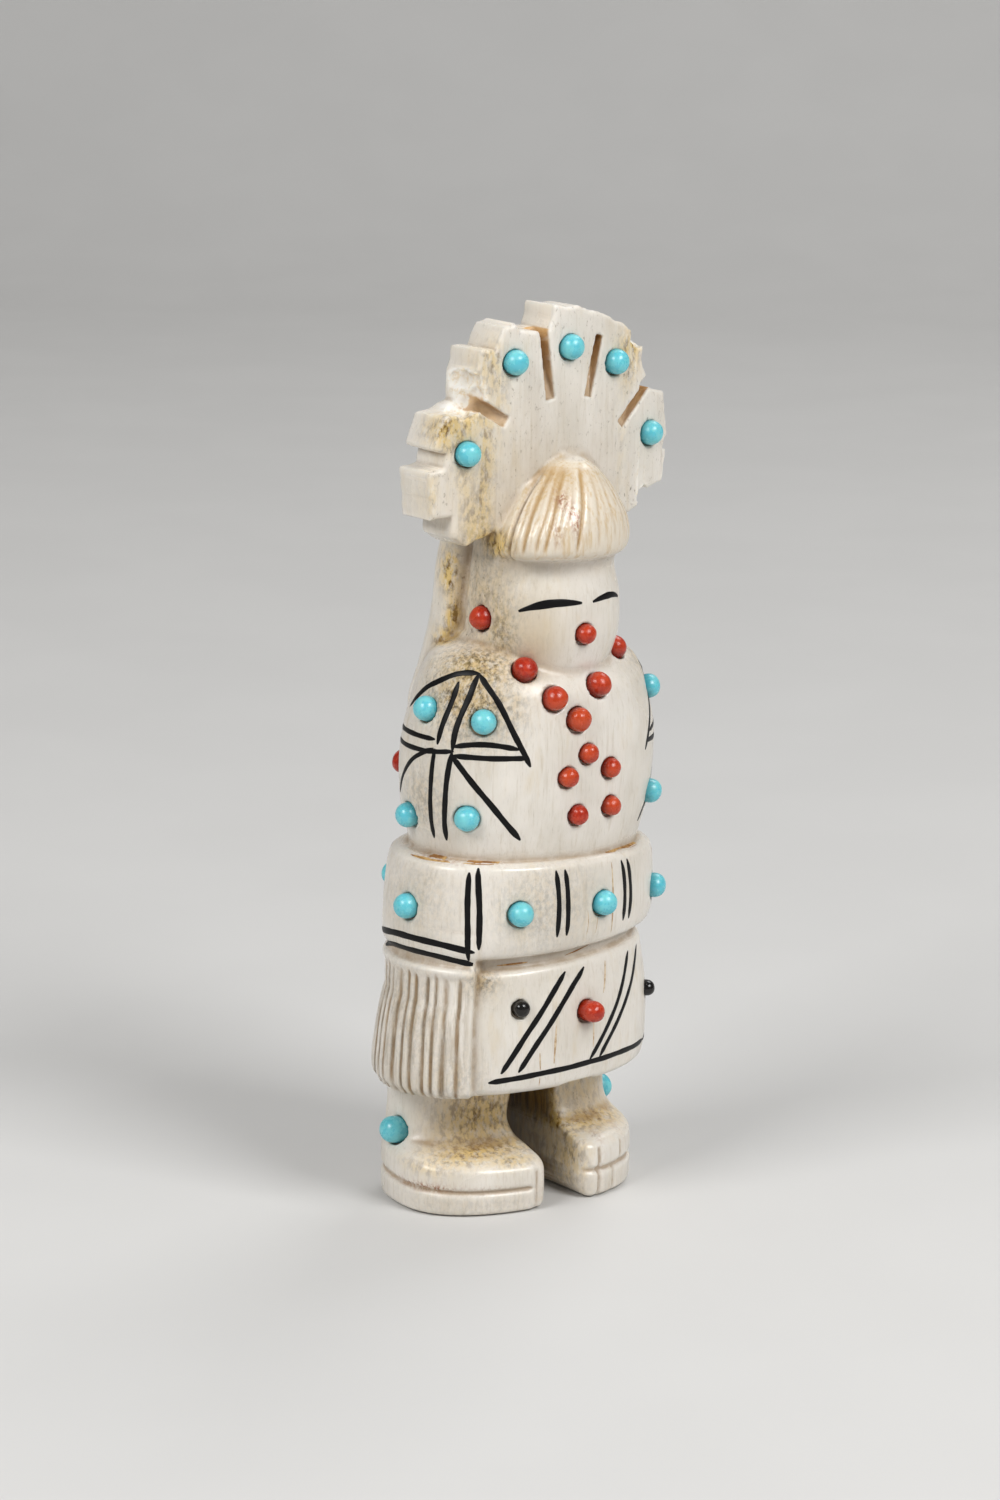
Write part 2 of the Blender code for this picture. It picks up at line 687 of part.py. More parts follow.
def make_beads(figure, guides):
    """All the bead stones, and the drill that cuts their holes."""
    turquoise = material("turquoise", (0.13, 0.55, 0.62), 0.3)
    coral = material("coral", (0.52, 0.05, 0.03), 0.25)
    jet = material("jet", (0.012, 0.01, 0.01), 0.2)
    drill = bmesh.new()
    beads = []

    def set_bead(name, bead, stone, point, normal):
        normal = leaned_direction(normal, point.z)
        point = leaned(point)
        beads.append(place_bead(name, bead, stone, point, normal, figure))
        hole_cutter(drill, bead, point, normal)

    for i, (x, z) in enumerate(FAN_BEADS, start=1):
        outward = Vector((x / FAN_BOW_RADIUS, -1.0, 0.0)).normalized()
        set_bead(f"fan_bead_{i}", ROUND_BEAD, turquoise, Vector((x, fan_face_y(x), z)), outward)
    for row in body_bead_rows(turquoise, coral, jet):
        place = {SKIRT: seam_point, BELT: seam_point, FEET: foot_point}.get(row.sections, Vector)
        for i, (angle, z) in enumerate(row.spots, start=1):
            point, normal = surface_point(row.sections, angle, z, place)
            set_bead(f"{row.name}_bead_{i}", row.bead, row.stone, point, normal)

    bmesh.ops.scale(drill, vec=(MM, MM, MM), verts=drill.verts)
    bmesh.ops.recalc_face_normals(drill, faces=drill.faces)
    mesh = bpy.data.meshes.new("bead_holes")
    drill.to_mesh(mesh)
    drill.free()
    return beads, add_object("bead_holes", mesh, guides, is_guide=True)


# ------------------------------------------------------------------ the carving

def make_carving(figure, guides):
    """The antler body: the skirt with every other form joined to it and the grooves cut in."""
    carving = loft("carving", SKIRT, BODY_SIDES, figure, place=seam_point)
    carving.hide_render = False
    carving.display_type = "TEXTURED"
    joined = [
        loft("feet", FEET, BODY_SIDES, guides, place=foot_point),
        loft("belt", BELT, BODY_SIDES, guides, place=seam_point),
        loft("torso", TORSO, BODY_SIDES, guides),
        loft("head", HEAD, HEAD_SIDES, guides),
        loft("temples", TEMPLES, SLAB_SIDES, guides),
        loft("back_hair", BACK_HAIR, SLAB_SIDES, guides),
        make_fan(guides),
        loft("bangs", BANGS, BODY_SIDES, guides, place=bangs_point),
        make_sash(guides),
    ]
    for solid in joined:
        combine(carving, solid, "UNION")
    cuts = [make_saw_cut(i, cut, guides) for i, cut in enumerate(SAW_CUTS, start=1)]
    cuts += [
        make_fringe_cuts(guides),
        make_hair_cuts(guides),
        make_leg_gap(guides),
        make_sole_cut("sole_cut_right", -150.0, -8.0, guides),
        make_sole_cut("sole_cut_left", 18.0, 150.0, guides),
    ]
    for cut in cuts:
        combine(carving, cut, "DIFFERENCE")
    carving.data.materials.append(material("antler", (0.72, 0.66, 0.56), 0.4))
    return carving, joined + cuts


def main():
    clear_scene()
    figure = bpy.data.collections.new("maiden_fetish")
    guides = bpy.data.collections.new("guides")
    bpy.context.scene.collection.children.link(figure)
    bpy.context.scene.collection.children.link(guides)

    carving, tools = make_carving(figure, guides)
    beads, drill = make_beads(figure, guides)
    combine(carving, drill, "DIFFERENCE")

    centre = bpy.data.objects.new("figure_centre", None)
    centre.location = Vector((*CENTRING, 0.0)) * MM
    figure.objects.link(centre)
    for thing in [carving, drill, *tools, *beads]:
        thing.parent = centre


main()
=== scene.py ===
# The looks of the maiden fetish: the carving's fine relief, its stones, its ink lines, and their materials.
#
# Shapes are given in millimetres and degrees in the upright figure's own frame: it faces -Y and its right
# side is at -X. Finished meshes are leaned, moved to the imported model's place and scaled to metres.
import math
from collections import namedtuple

import bmesh
import bpy
import numpy as np
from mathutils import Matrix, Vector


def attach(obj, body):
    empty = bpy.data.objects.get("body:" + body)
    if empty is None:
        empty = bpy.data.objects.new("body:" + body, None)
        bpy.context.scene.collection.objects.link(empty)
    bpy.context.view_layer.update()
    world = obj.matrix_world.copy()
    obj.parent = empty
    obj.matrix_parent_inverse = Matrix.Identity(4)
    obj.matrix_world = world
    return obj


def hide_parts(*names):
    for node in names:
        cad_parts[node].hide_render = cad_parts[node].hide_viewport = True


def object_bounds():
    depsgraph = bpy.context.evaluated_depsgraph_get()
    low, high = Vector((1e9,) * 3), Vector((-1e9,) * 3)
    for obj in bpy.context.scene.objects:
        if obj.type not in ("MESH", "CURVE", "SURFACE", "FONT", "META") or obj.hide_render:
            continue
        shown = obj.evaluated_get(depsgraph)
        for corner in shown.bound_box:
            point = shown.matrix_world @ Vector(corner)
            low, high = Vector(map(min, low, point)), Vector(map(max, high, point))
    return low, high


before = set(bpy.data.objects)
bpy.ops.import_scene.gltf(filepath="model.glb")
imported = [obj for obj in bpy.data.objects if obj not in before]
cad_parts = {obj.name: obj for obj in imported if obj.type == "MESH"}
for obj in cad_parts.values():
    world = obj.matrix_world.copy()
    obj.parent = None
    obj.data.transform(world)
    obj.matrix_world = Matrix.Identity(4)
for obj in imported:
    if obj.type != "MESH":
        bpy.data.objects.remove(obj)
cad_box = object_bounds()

import openvdb
from mathutils import Matrix, Vector
from mathutils.bvhtree import BVHTree

MM = 0.001

# ------------------------------------------------------------------ dimensions shared with the CAD part

def rows_of(kind, *rows):
    """A table whose rows are all of one kind."""
    return tuple(kind(*row) for row in rows)


# A level section of a lofted part: its height, half its width, where its front and its back lie along Y,
# and how square its oval is.
Section = namedtuple("Section", "z half_width front back squareness", defaults=(2.2,))
SKIRT = rows_of(Section,
    (15.1, 15.5, -11.8, 8.9),
    (16.1, 16.3, -12.6, 9.7),
    (19.5, 16.6, -12.9, 9.9),
    (24.0, 16.5, -12.8, 9.8),
    (28.6, 15.6, -12.2, 9.3),
    (29.6, 15.3, -12.0, 9.1),
    (30.2, 14.4, -11.2, 8.4),
    (32.6, 14.3, -11.1, 8.3),
)
BELT = rows_of(Section,
    (31.4, 15.6, -12.1, 9.4),
    (32.1, 16.5, -12.8, 10.2),
    (34.3, 16.9, -13.1, 10.5),
    (38.5, 16.8, -13.0, 10.4),
    (41.2, 16.3, -12.7, 10.1),
    (41.9, 15.5, -12.1, 9.4),
)
TORSO = rows_of(Section,
    (40.5, 13.9, -11.3, 8.2),
    (43.0, 14.4, -11.7, 8.5),
    (46.5, 15.5, -12.1, 9.0),
    (51.5, 16.0, -12.3, 9.2),
    (56.0, 15.6, -12.3, 9.0),
    (60.3, 14.3, -11.7, 8.5),
    (62.4, 13.6, -10.6, 7.6),
    (64.4, 12.0, -8.6, 6.4),
    (65.8, 8.6, -6.0, 5.4),
)
HEAD = rows_of(Section,
    (60.5, 5.6, -9.0, 1.5),
    (62.6, 6.7, -10.0, 2.0),
    (64.6, 7.5, -10.7, 2.3),
    (67.5, 8.0, -11.2, 2.5, 2.3),
    (71.5, 7.9, -11.0, 2.5, 2.3),
    (74.5, 7.4, -10.3, 2.5, 2.3),
    (79.0, 7.3, -10.2, 2.0, 2.3),
)
TEMPLES = rows_of(Section,
    (59.5, 8.8, -5.6, 2.6, 3.4),
    (63.0, 8.6, -6.0, 2.6, 3.4),
    (70.0, 8.3, -6.2, 2.6, 3.4),
    (78.0, 8.6, -6.0, 1.0, 3.4),
)
BANGS = rows_of(Section,
    (75.7, 7.5, -11.4, -1.5, 2.1),
    (76.4, 8.0, -12.3, -1.5, 2.1),
    (78.2, 8.2, -12.7, -1.5, 2.1),
    (80.4, 7.5, -12.3, -1.5, 2.1),
    (83.0, 5.9, -11.1, -1.5, 2.0),
    (85.2, 3.9, -9.6, -1.5, 2.0),
    (86.8, 1.8, -8.0, -1.5, 2.0),
)
BANGS_TOP_X = 0.6
BANGS_SKEW = 0.15
BACK_HAIR = rows_of(Section,
    (54.0, 10.1, 3.2, 9.4, 4.0),
    (58.0, 10.5, 2.9, 9.2, 4.0),
    (62.0, 10.2, 2.0, 7.8, 4.0),
    (68.0, 9.8, 1.3, 6.4, 4.0),
    (76.0, 9.6, 0.6, 5.4, 4.0),
    (80.0, 9.0, -1.5, 3.8, 4.0),
    (83.5, 7.6, -2.6, 0.8, 3.0),
)
FEET = rows_of(Section,
    (0.0, 14.6, -9.7, 9.2, 2.5),
    (0.5, 15.0, -10.1, 9.6, 2.5),
    (4.9, 15.0, -10.1, 9.6, 2.5),
    (5.8, 14.6, -9.3, 9.4, 2.5),
    (6.3, 14.2, -7.6, 9.2, 2.5),
    (7.2, 13.8, -5.0, 8.8, 2.6),
    (9.5, 13.5, -3.7, 8.4, 2.8),
    (16.0, 13.6, -3.6, 8.4, 2.8),
)
FEET_TURN = -8.0
UPPER_HEIGHT = 5.0
HEEL_RISE = 0.07
TOE_Y = -9.0
LEFT_FOOT_LIFT = 1.1
GAP_RIGHT = -1.6
GAP_LEFT = 3.5
GAP_TOP = 15.6

SEAM_SLANT = 0.06
SEAM_FADE = (22.0, 30.0, 32.5, 39.0)

LEAN = 2.2
LEAN_START = 14.0
LEAN_END = 36.0
CENTRING = (-0.68, 1.68)

# A step of the fan's rim: how far it reaches from the middle and at what height, at its foot and at its
# top. The steps of each side run from the lowest up, and where a block is broken off, its step slants.
FanStep = namedtuple("FanStep", "foot_reach foot top_reach top")
FAN_TOP = 103.7
RIGHT_STEPS = rows_of(FanStep,
    (9.0, 78.5, 12.5, 77.0),
    (14.5, 78.0, 14.5, 80.5),
    (17.0, 80.0, 17.5, 85.5),
    (15.5, 86.0, 15.5, 87.5),
    (17.0, 88.0, 16.0, 91.5),
    (14.5, 92.0, 12.5, 93.0),
    (12.5, 95.0, 12.0, 99.0),
    (10.0, 99.0, 9.0, 101.5),
    (7.5, 102.0, 7.0, 101.0),
    (3.0, 101.0, 2.5, FAN_TOP),
)
LEFT_STEPS = rows_of(FanStep,
    (9.0, 79.0, 11.0, 79.5),
    (12.5, 80.5, 13.0, 82.0),
    (16.5, 82.5, 17.0, 86.5),
    (16.5, 86.5, 16.5, 87.5),
    (17.0, 88.0, 16.0, 93.0),
    (11.5, 94.0, 12.5, 95.0),
    (11.5, 97.0, 12.0, 98.5),
    (8.5, 101.0, 7.5, 101.5),
    (5.0, 102.5, 1.0, 103.5),
)
FAN_FRONT = -5.8
FAN_THICKNESS = 5.6
FAN_BOW_RADIUS = 65.0

# A saw cut in the fan's face: its inner end, the way it leans outwards from upright, its length and
# width, and its depth at the outer end.
SawCut = namedtuple("SawCut", "inner lean length width depth")
SAW_CUTS = rows_of(SawCut,
    ((-8.5, 91.0), -60.0, 7.5, 1.4, 4.0),
    ((-2.5, 93.5), -10.0, 8.0, 1.2, 3.0),
    ((3.0, 93.5), 11.0, 6.5, 1.1, 2.0),
    ((8.5, 90.0), 45.0, 5.5, 1.2, 2.6),
)
SAW_CUT_SHALLOW = 0.5

SASH_FRONT_ANGLE = -47.5
SASH_BACK_ANGLE = -132.0
SASH_BOTTOM_FRONT = 15.2
SASH_BOTTOM_BACK = 14.3
SASH_TOP = 33.2
SASH_PROUD_FRONT = (2.1, 1.0, 1.3)
SASH_PROUD_BACK = (1.9, 0.25, 1.7)
SASH_MIDDLE = 0.4
SASH_SINK = 3.0

# A bead's radius, how far its head stands out and how deep its shank is sunk.
Bead = namedtuple("Bead", "radius head sunk")
ROUND_BEAD = Bead(1.45, 1.6, 1.7)
SMALL_BEAD = Bead(1.2, 1.3, 1.6)
JET_BEAD = Bead(1.0, 1.15, 1.6)
LARGE_BEAD = Bead(1.6, 2.2, 1.8)
TALL_BEAD = Bead(1.3, 2.4, 1.7)
FAN_BEADS = ((-13.0, 87.5), (-7.5, 97.5), (0.0, 99.0), (7.0, 97.0), (13.5, 88.5))
# A row of beads: the stone, the part they are set in, their sizes, and each one's angle and height.
BeadRow = namedtuple("BeadRow", "name stone sections bead spots")
BEAD_ROWS = rows_of(BeadRow,
    ("ear", "coral", TEMPLES, ROUND_BEAD, ((-86.0, 68.5), (86.0, 68.5))),
    ("mouth", "coral", HEAD, SMALL_BEAD, ((-1.5, 67.5),)),
    ("necklace", "coral", TORSO, ROUND_BEAD, (
        (-29.5, 63.5), (-16.0, 60.5), (-4.5, 58.0), (6.5, 61.5), (37.0, 64.5),
    )),
    ("pendant", "coral", TORSO, SMALL_BEAD, (
        (0.0, 54.0), (-8.0, 51.5), (11.0, 52.0), (-2.5, 47.0), (13.0, 47.5),
    )),
    ("right_shoulder", "turquoise", TORSO, ROUND_BEAD, (
        (-90.0, 58.5), (-52.0, 58.0), (-99.0, 46.0), (-57.0, 47.0),
    )),
    ("left_shoulder", "turquoise", TORSO, ROUND_BEAD, (
        (62.0, 59.5), (92.0, 58.5), (55.0, 47.5), (99.0, 46.0),
    )),
    ("back", "coral", TORSO, ROUND_BEAD, ((-137.0, 50.5),)),
    ("belt", "turquoise", BELT, ROUND_BEAD, (
        (-87.0, 36.5), (-27.5, 36.5), (8.0, 36.5), (53.0, 36.0),
        (98.0, 36.5), (-143.0, 37.0), (152.0, 36.5),
    )),
    ("skirt_jet", "jet", SKIRT, JET_BEAD, ((-25.5, 25.5), (56.0, 23.5), (-136.0, 22.0))),
    ("skirt_coral", "coral", SKIRT, TALL_BEAD, ((3.5, 24.0), (98.0, 24.0), (165.0, 24.0))),
    ("ankle", "turquoise", FEET, LARGE_BEAD, ((-87.0, 7.5), (94.0, 7.0))),
)

# ------------------------------------------------------------------ the fine relief's own dimensions

# The grid of the distance field, and the field's value away from the carving.
GRID_PITCH = 0.21
GRID_LOW = (-19.2, -14.6, -0.9)
GRID_HIGH = (19.2, 12.6, 105.0)
FAR = 3.0
# A coordinate past the grid's sides.
BEYOND = 99
# How far past the ends of a part its field is joined to the carving's, and the same for the top of the feet
# and the lower ends of the sash and the fan.
MARGIN = 2.5
SHORT_MARGIN = 1.5
# The field is held within this limit before it is blurred, over so many cells each way, to tell fine edges
# and hollows and the broad recesses that get painted shade.
FIELD_LIMIT = 1.6
FINE_BLUR = 2
BROAD_BLUR = 6
# How far, in metres, the surface stays inside the CAD model's box.
BOX_MARGIN = 0.00001
MAX_TRIANGLES = 192000

# The fringe's strands: the angle that each takes up, and how deep the grooves between them are.
STRAND_ANGLE = 6.1
STRAND_DEPTH = 0.5
FIRST_STRAND_GROOVE = -54.8
FRINGE_TOP = 29.4
# The angles over which the sash's plain front border gives way to the fringe.
BORDER_EDGE = (-51.0, -53.4)
# How far the sash fills the crease between skirt and belt, and the heights over which that comes and goes.
SEAM_FILL = 0.45
SEAM_FILL_START = (28.4, 30.2)
SEAM_FILL_END = (33.2, 31.6)
# A bead's seat: its clearance, how far it is off the bead's own place, its depth, and how far from its
# middle it is worked out.
SEAT_CLEARANCE = 0.08
SEAT_OFFSET = Vector((-0.1, 0.0, -0.1))
SEAT_DEPTH = 0.6
SEAT_REACH = Vector((3.0, 3.0, 3.0))

# A groove combed into the bangs: its angle round them, how deep and how wide it is, how brown its dirt
# is, and the height where it fades out.
Comb = namedtuple("Comb", "angle depth width brown low")
COMBS = rows_of(Comb,
    (-87.0, 0.8, 0.36, 1.2, 75.4),
    (-77.0, 0.16, 0.22, 0.35, 76.6),
    (-68.0, 0.34, 0.38, 1.0, 77.0),
    (-60.5, 0.1, 0.2, 0.3, 77.4),
    (-53.0, 0.2, 0.26, 0.7, 77.2),
    (-45.0, 0.3, 0.32, 0.9, 77.2),
    (-36.0, 0.12, 0.22, 0.35, 77.4),
    (-29.0, 0.1, 0.2, 0.35, 77.6),
    (-15.5, 0.22, 0.24, 1.0, 77.0),
    (-8.0, 0.05, 0.2, 0.2, 77.6),
    (2.0, 0.08, 0.22, 0.4, 77.3),
    (9.5, 0.04, 0.2, 0.15, 77.6),
    (19.0, 0.06, 0.22, 0.3, 77.4),
    (27.5, 0.04, 0.2, 0.15, 77.6),
    (36.0, 0.07, 0.22, 0.3, 77.4),
    *((angle, 0.1, 0.24, 0.3, 77.5) for angle in range(47, 92, 9)),
)
COMB_TOP = 86.4
COMB_END_SLOPE = 0.022
# The length of one degree round the bangs at their crown, and how much longer it gets down to their hem.
CROWN_ARC = 0.03
HEM_ARC_GAIN = 0.165

# A broken place in the fan's rim: the middle of the hollow that it leaves, and its reach along X, Y, Z.
Chip = namedtuple("Chip", "middle reach")
CHIPS = rows_of(Chip,
    ((-14.0, -4.3, 93.5), (3.0, 3.8, 2.1)),
    ((-13.3, -2.6, 95.3), (1.9, 3.2, 1.35)),
    ((-15.0, -5.2, 92.2), (0.6, 0.9, 0.5)),
    ((-13.8, -5.6, 92.9), (0.5, 0.7, 0.45)),
    ((-14.2, -3.4, 92.6), (0.5, 1.0, 0.45)),
    ((-12.4, -5.6, 93.4), (0.55, 0.8, 0.4)),
    ((-15.9, -4.4, 91.9), (0.5, 0.8, 0.4)),
    ((-11.8, -5.7, 96.0), (0.5, 0.6, 0.8)),
    ((10.9, -4.8, 99.6), (1.5, 2.0, 1.3)),
    ((12.9, -4.6, 81.4), (1.2, 1.8, 1.0)),
)


# ------------------------------------------------------------------ the lean and the feet

def lean_at(z):
    """How far the lean moves the figure's axis at heights z, and how much it tilts it there."""
    full = math.radians(LEAN)
    span = LEAN_END - LEAN_START
    share = np.clip((z - LEAN_START) / span, 0.0, 1.0)
    beyond = np.maximum(z - LEAN_END, 0.0)
    shift = full * (span * (share**3 - share**4 / 2) + beyond)
    return shift, full * (3 * share**2 - 2 * share**3)


def to_frame(points):
    """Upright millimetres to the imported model's frame, in metres."""
    x, y, z = np.asarray(points, float).T
    shift, tilt = lean_at(z)
    leaned = np.stack((shift + x * np.cos(tilt), y, z - x * np.sin(tilt)), axis=1)
    return (leaned + (*CENTRING, 0.0)) * MM


def ease(low, high, value):
    """0 below low, 1 above high, and a smooth rise between them. It falls if low is above high."""
    t = np.clip((value - low) / (high - low), 0.0, 1.0)
    return t * t * (3 - 2 * t)


def seam_rise(x, z):
    """How far the slant of the seam raises the skirt and the belt."""
    rise_low, rise_high, fall_low, fall_high = SEAM_FADE
    return SEAM_SLANT * x * ease(rise_low, rise_high, z) * (1 - ease(fall_low, fall_high, z))


def seam_point(point):
    """Where the slant of the seam takes a point of the skirt or the belt."""
    return point + Vector((0.0, 0.0, float(seam_rise(point.x, point.z))))


def foot_lift(x, y):
    """How far the foot's upper is raised over a point of the turned feet."""
    leftward = np.clip((x - GAP_RIGHT) / (GAP_LEFT - GAP_RIGHT), 0.0, 1.0)
    return LEFT_FOOT_LIFT * leftward + HEEL_RISE * (y - TOE_Y)


def foot_point(point):
    """Where the turn and the rise of the feet take a point of their straight form."""
    turned = Matrix.Rotation(math.radians(FEET_TURN), 3, "Z") @ point
    turned.z += float(foot_lift(turned.x, turned.y)) * min(turned.z / UPPER_HEIGHT, 1.0)
    return turned


def straight_foot(x, y, z):
    """The straight form's coordinates of points on the turned and raised feet."""
    lift = foot_lift(x, y)
    lowered = np.where(z > UPPER_HEIGHT + lift, z - lift, z / (1 + lift / UPPER_HEIGHT))
    turn = math.radians(-FEET_TURN)
    straight_x = x * math.cos(turn) - y * math.sin(turn)
    straight_y = x * math.sin(turn) + y * math.cos(turn)
    return straight_x, straight_y, lowered


# ------------------------------------------------------------------ sections and fields

def section_at(sections, z):
    """Half width, front, back and squareness at heights z, on smooth curves through the sections."""
    table = np.array(sections)
    knots = table[:, 0]
    z = np.clip(np.atleast_1d(z), knots[0], knots[-1])
    upper = np.clip(np.searchsorted(knots, z), 1, len(knots) - 1)
    low = upper - 1
    below = np.maximum(upper - 2, 0)
    above = np.minimum(upper + 1, len(knots) - 1)
    span = (knots[upper] - knots[low])[:, None]
    t = (z[:, None] - knots[low][:, None]) / span
    start_slope = (table[upper] - table[below]) / (knots[upper] - knots[below])[:, None] * span
    end_slope = (table[above] - table[low]) / (knots[above] - knots[low])[:, None] * span
    blended = (
        (2 * t**3 - 3 * t**2 + 1) * table[low]
        + (t**3 - 2 * t**2 + t) * start_slope
        + (3 * t**2 - 2 * t**3) * table[upper]
        + (t**3 - t**2) * end_slope
    )
    return blended[:, 1:].T


FINE_STEPS = 600


def section_fields(sections, z):
    """section_at for an array of any shape, through a fine table of heights."""
    steps = np.linspace(sections[0].z, sections[-1].z, FINE_STEPS)
    table = section_at(sections, steps)
    return [np.interp(z, steps, row).astype(np.float32) for row in table]


def rim_point(sections, angle, z):
    """The point on a part's surface at an angle from the front and a height."""
    half, front, back, squareness = (float(v[0]) for v in section_at(sections, z))
    turn = math.radians(angle)
    power = 2.0 / squareness
    across, along = (math.copysign(abs(v) ** power, v) for v in (math.sin(turn), math.cos(turn)))
    return Vector((half * across, (front + back) / 2 - (back - front) / 2 * along, z))


def surface_point(sections, angle, z, place=Vector):
    """The point and the outward normal of a part at an angle and a height."""
    step = 0.05
    point = place(rim_point(sections, angle, z))
    around = place(rim_point(sections, angle + step, z)) - point
    upward = place(rim_point(sections, angle, z + step)) - point
    return point, around.cross(upward).normalized()


def smooth_min(a, b, width):
    """The lower of two fields, rounded off over about this width where they meet."""
    blend = np.maximum(width - np.abs(a - b), 0.0) / width
    return np.minimum(a, b) - blend * blend * (width / 4)


def smooth_max(a, b, width):
    """The higher of two fields, rounded off over about this width where they meet."""
    return -smooth_min(-a, -b, width)


def oval_field(x, y, half, front, back, squareness):
    """About the distance from points to an oval outline, negative inside."""
    depth = (back - front) / 2
    u = np.maximum(np.abs(x) / half, 1e-3)
    v = np.maximum(np.abs(y - (front + back) / 2) / depth, 1e-3)
    u_power = u ** (squareness - 1)
    v_power = v ** (squareness - 1)
    size = (u_power * u + v_power * v) ** (1 / squareness)
    slope = size ** (1 - squareness) * np.hypot(u_power / half, v_power / depth)
    return (size - 1) / slope


def oval_angle(x, y, half, front, back, squareness):
    """The angle round an oval outline, in degrees from the front, as the sections count it."""
    forward = ((front + back) / 2 - y) / ((back - front) / 2)
    across = np.sign(x) * np.abs(x / half) ** (squareness / 2)
    along = np.sign(forward) * np.abs(forward) ** (squareness / 2)
    return np.degrees(np.arctan2(across, along))


def blend_corners(values, base, share):
    """The values of a lattice at the corners of its cells, each weighted by how near it is. It repeats."""
    total = np.zeros(len(base))
    for corner in np.ndindex(2, 2, 2):
        weight = np.prod(np.where(corner, share, 1 - share), axis=1)
        i, j, k = ((base + corner) % values.shape).T
        total += weight * values[i, j, k]
    return total


class Grid:
    """A field of distances to the carving's surface, on a regular grid of points."""

    def __init__(self):
        self.axes = [
            np.arange(low, high, GRID_PITCH, dtype=np.float32)
            for low, high in zip(GRID_LOW, GRID_HIGH)
        ]
        self.values = np.full([len(axis) for axis in self.axes], FAR, np.float32)

    def block(self, low, high):
        """The slices and the coordinates of the grid between two corners."""
        cuts = []
        for axis, a, b in zip(self.axes, low, high):
            first, last = np.searchsorted(axis, (a, b))
            cuts.append(slice(max(first, 0), min(last + 1, len(axis))))
        x, y, z = (axis[cut] for axis, cut in zip(self.axes, cuts))
        return tuple(cuts), (x[:, None, None], y[None, :, None], z[None, None, :])

    def band(self, z_low, z_high):
        """The slices and the coordinates of the grid between two heights."""
        return self.block((-BEYOND, -BEYOND, z_low), (BEYOND, BEYOND, z_high))

    def add(self, cuts, shape, width):
        """Joins a shape to the carving, with a fillet of about this width."""
        self.values[cuts] = smooth_min(self.values[cuts], shape, width)

    def remove(self, cuts, shape, width):
        """Cuts a shape from the carving, with edges softened by about this width."""
        self.values[cuts] = smooth_max(self.values[cuts], -shape, width)

    def sample(self, values, points):
        """Values of a grid of the same layout at points, by linear interpolation."""
        place = np.clip((points - np.array(GRID_LOW)) / GRID_PITCH, 0, np.array(values.shape) - 1.001)
        base = place.astype(int)
        return blend_corners(values, base, place - base)


def loft_field(sections, x, y, z, rounding, relief=None):
    """The distance to a lofted part with flat ends. Relief(angle, z) moves its side inwards."""
    shape = section_fields(sections, z)
    side = oval_field(x, y, *shape)
    if relief is not None:
        side = side + relief(oval_angle(x, y, *shape), z)
    ends = np.maximum(sections[0].z - z, z - sections[-1].z)
    return smooth_max(side, ends + 0 * side, rounding)


def straight_bangs_x(x, z):
    """The x in the bangs' straight form of points on the skewed bangs."""
    return x - BANGS_TOP_X + BANGS_SKEW * (BANGS[-1].z - z)


def comb_marks(angle, z, amount):
    """The sum of the combed grooves, each weighted by amount(comb), round the bangs."""
    total = 0 * angle
    arc = CROWN_ARC + HEM_ARC_GAIN * ease(88.0, 77.0, z)
    for comb in COMBS:
        wander = 0.6 * np.sin(z * 0.9 + comb.angle)
        low = comb.low + COMB_END_SLOPE * max(comb.angle + 30, 0)
        shown = ease(COMB_TOP, COMB_TOP - 1.4, z) * ease(low - 0.8, low + 0.6, z)
        distance = (angle - comb.angle - wander) * arc / comb.width
        total = total + amount(comb) * shown * np.exp(-(distance**2))
    return total


def comb_relief(angle, z):
    """How deep the combed grooves of the bangs are."""
    return comb_marks(angle, z, lambda comb: comb.depth)


def strand_grooves(angle, z):
    """How near, from 0 to 1, points are to a groove of the sash's fringe. Its front border is plain."""
    turns = (angle - FIRST_STRAND_GROOVE) / STRAND_ANGLE + 0.13 * np.sin(angle * 0.37)
    near = 1 - np.abs(np.sin(np.pi * turns)) ** 0.5
    start = FRINGE_TOP + 0.3 * np.sin(angle * 0.35)
    return near * ease(start, start - 1.4, z) * ease(*BORDER_EDGE, angle)


def strand_relief(angle, z):
    """The grooves between the strands of the sash's fringe, deeper downwards until they fade at its hem."""
    worn = 0.5 + 0.5 * ease(-104, -72, angle)
    return STRAND_DEPTH * worn * strand_grooves(angle, z) * ease(38.0, 22.0, z) * ease(13.4, 16.4, z)


# The length along the skirt's outline of one degree of its angle.
SKIRT_ARC = 0.27


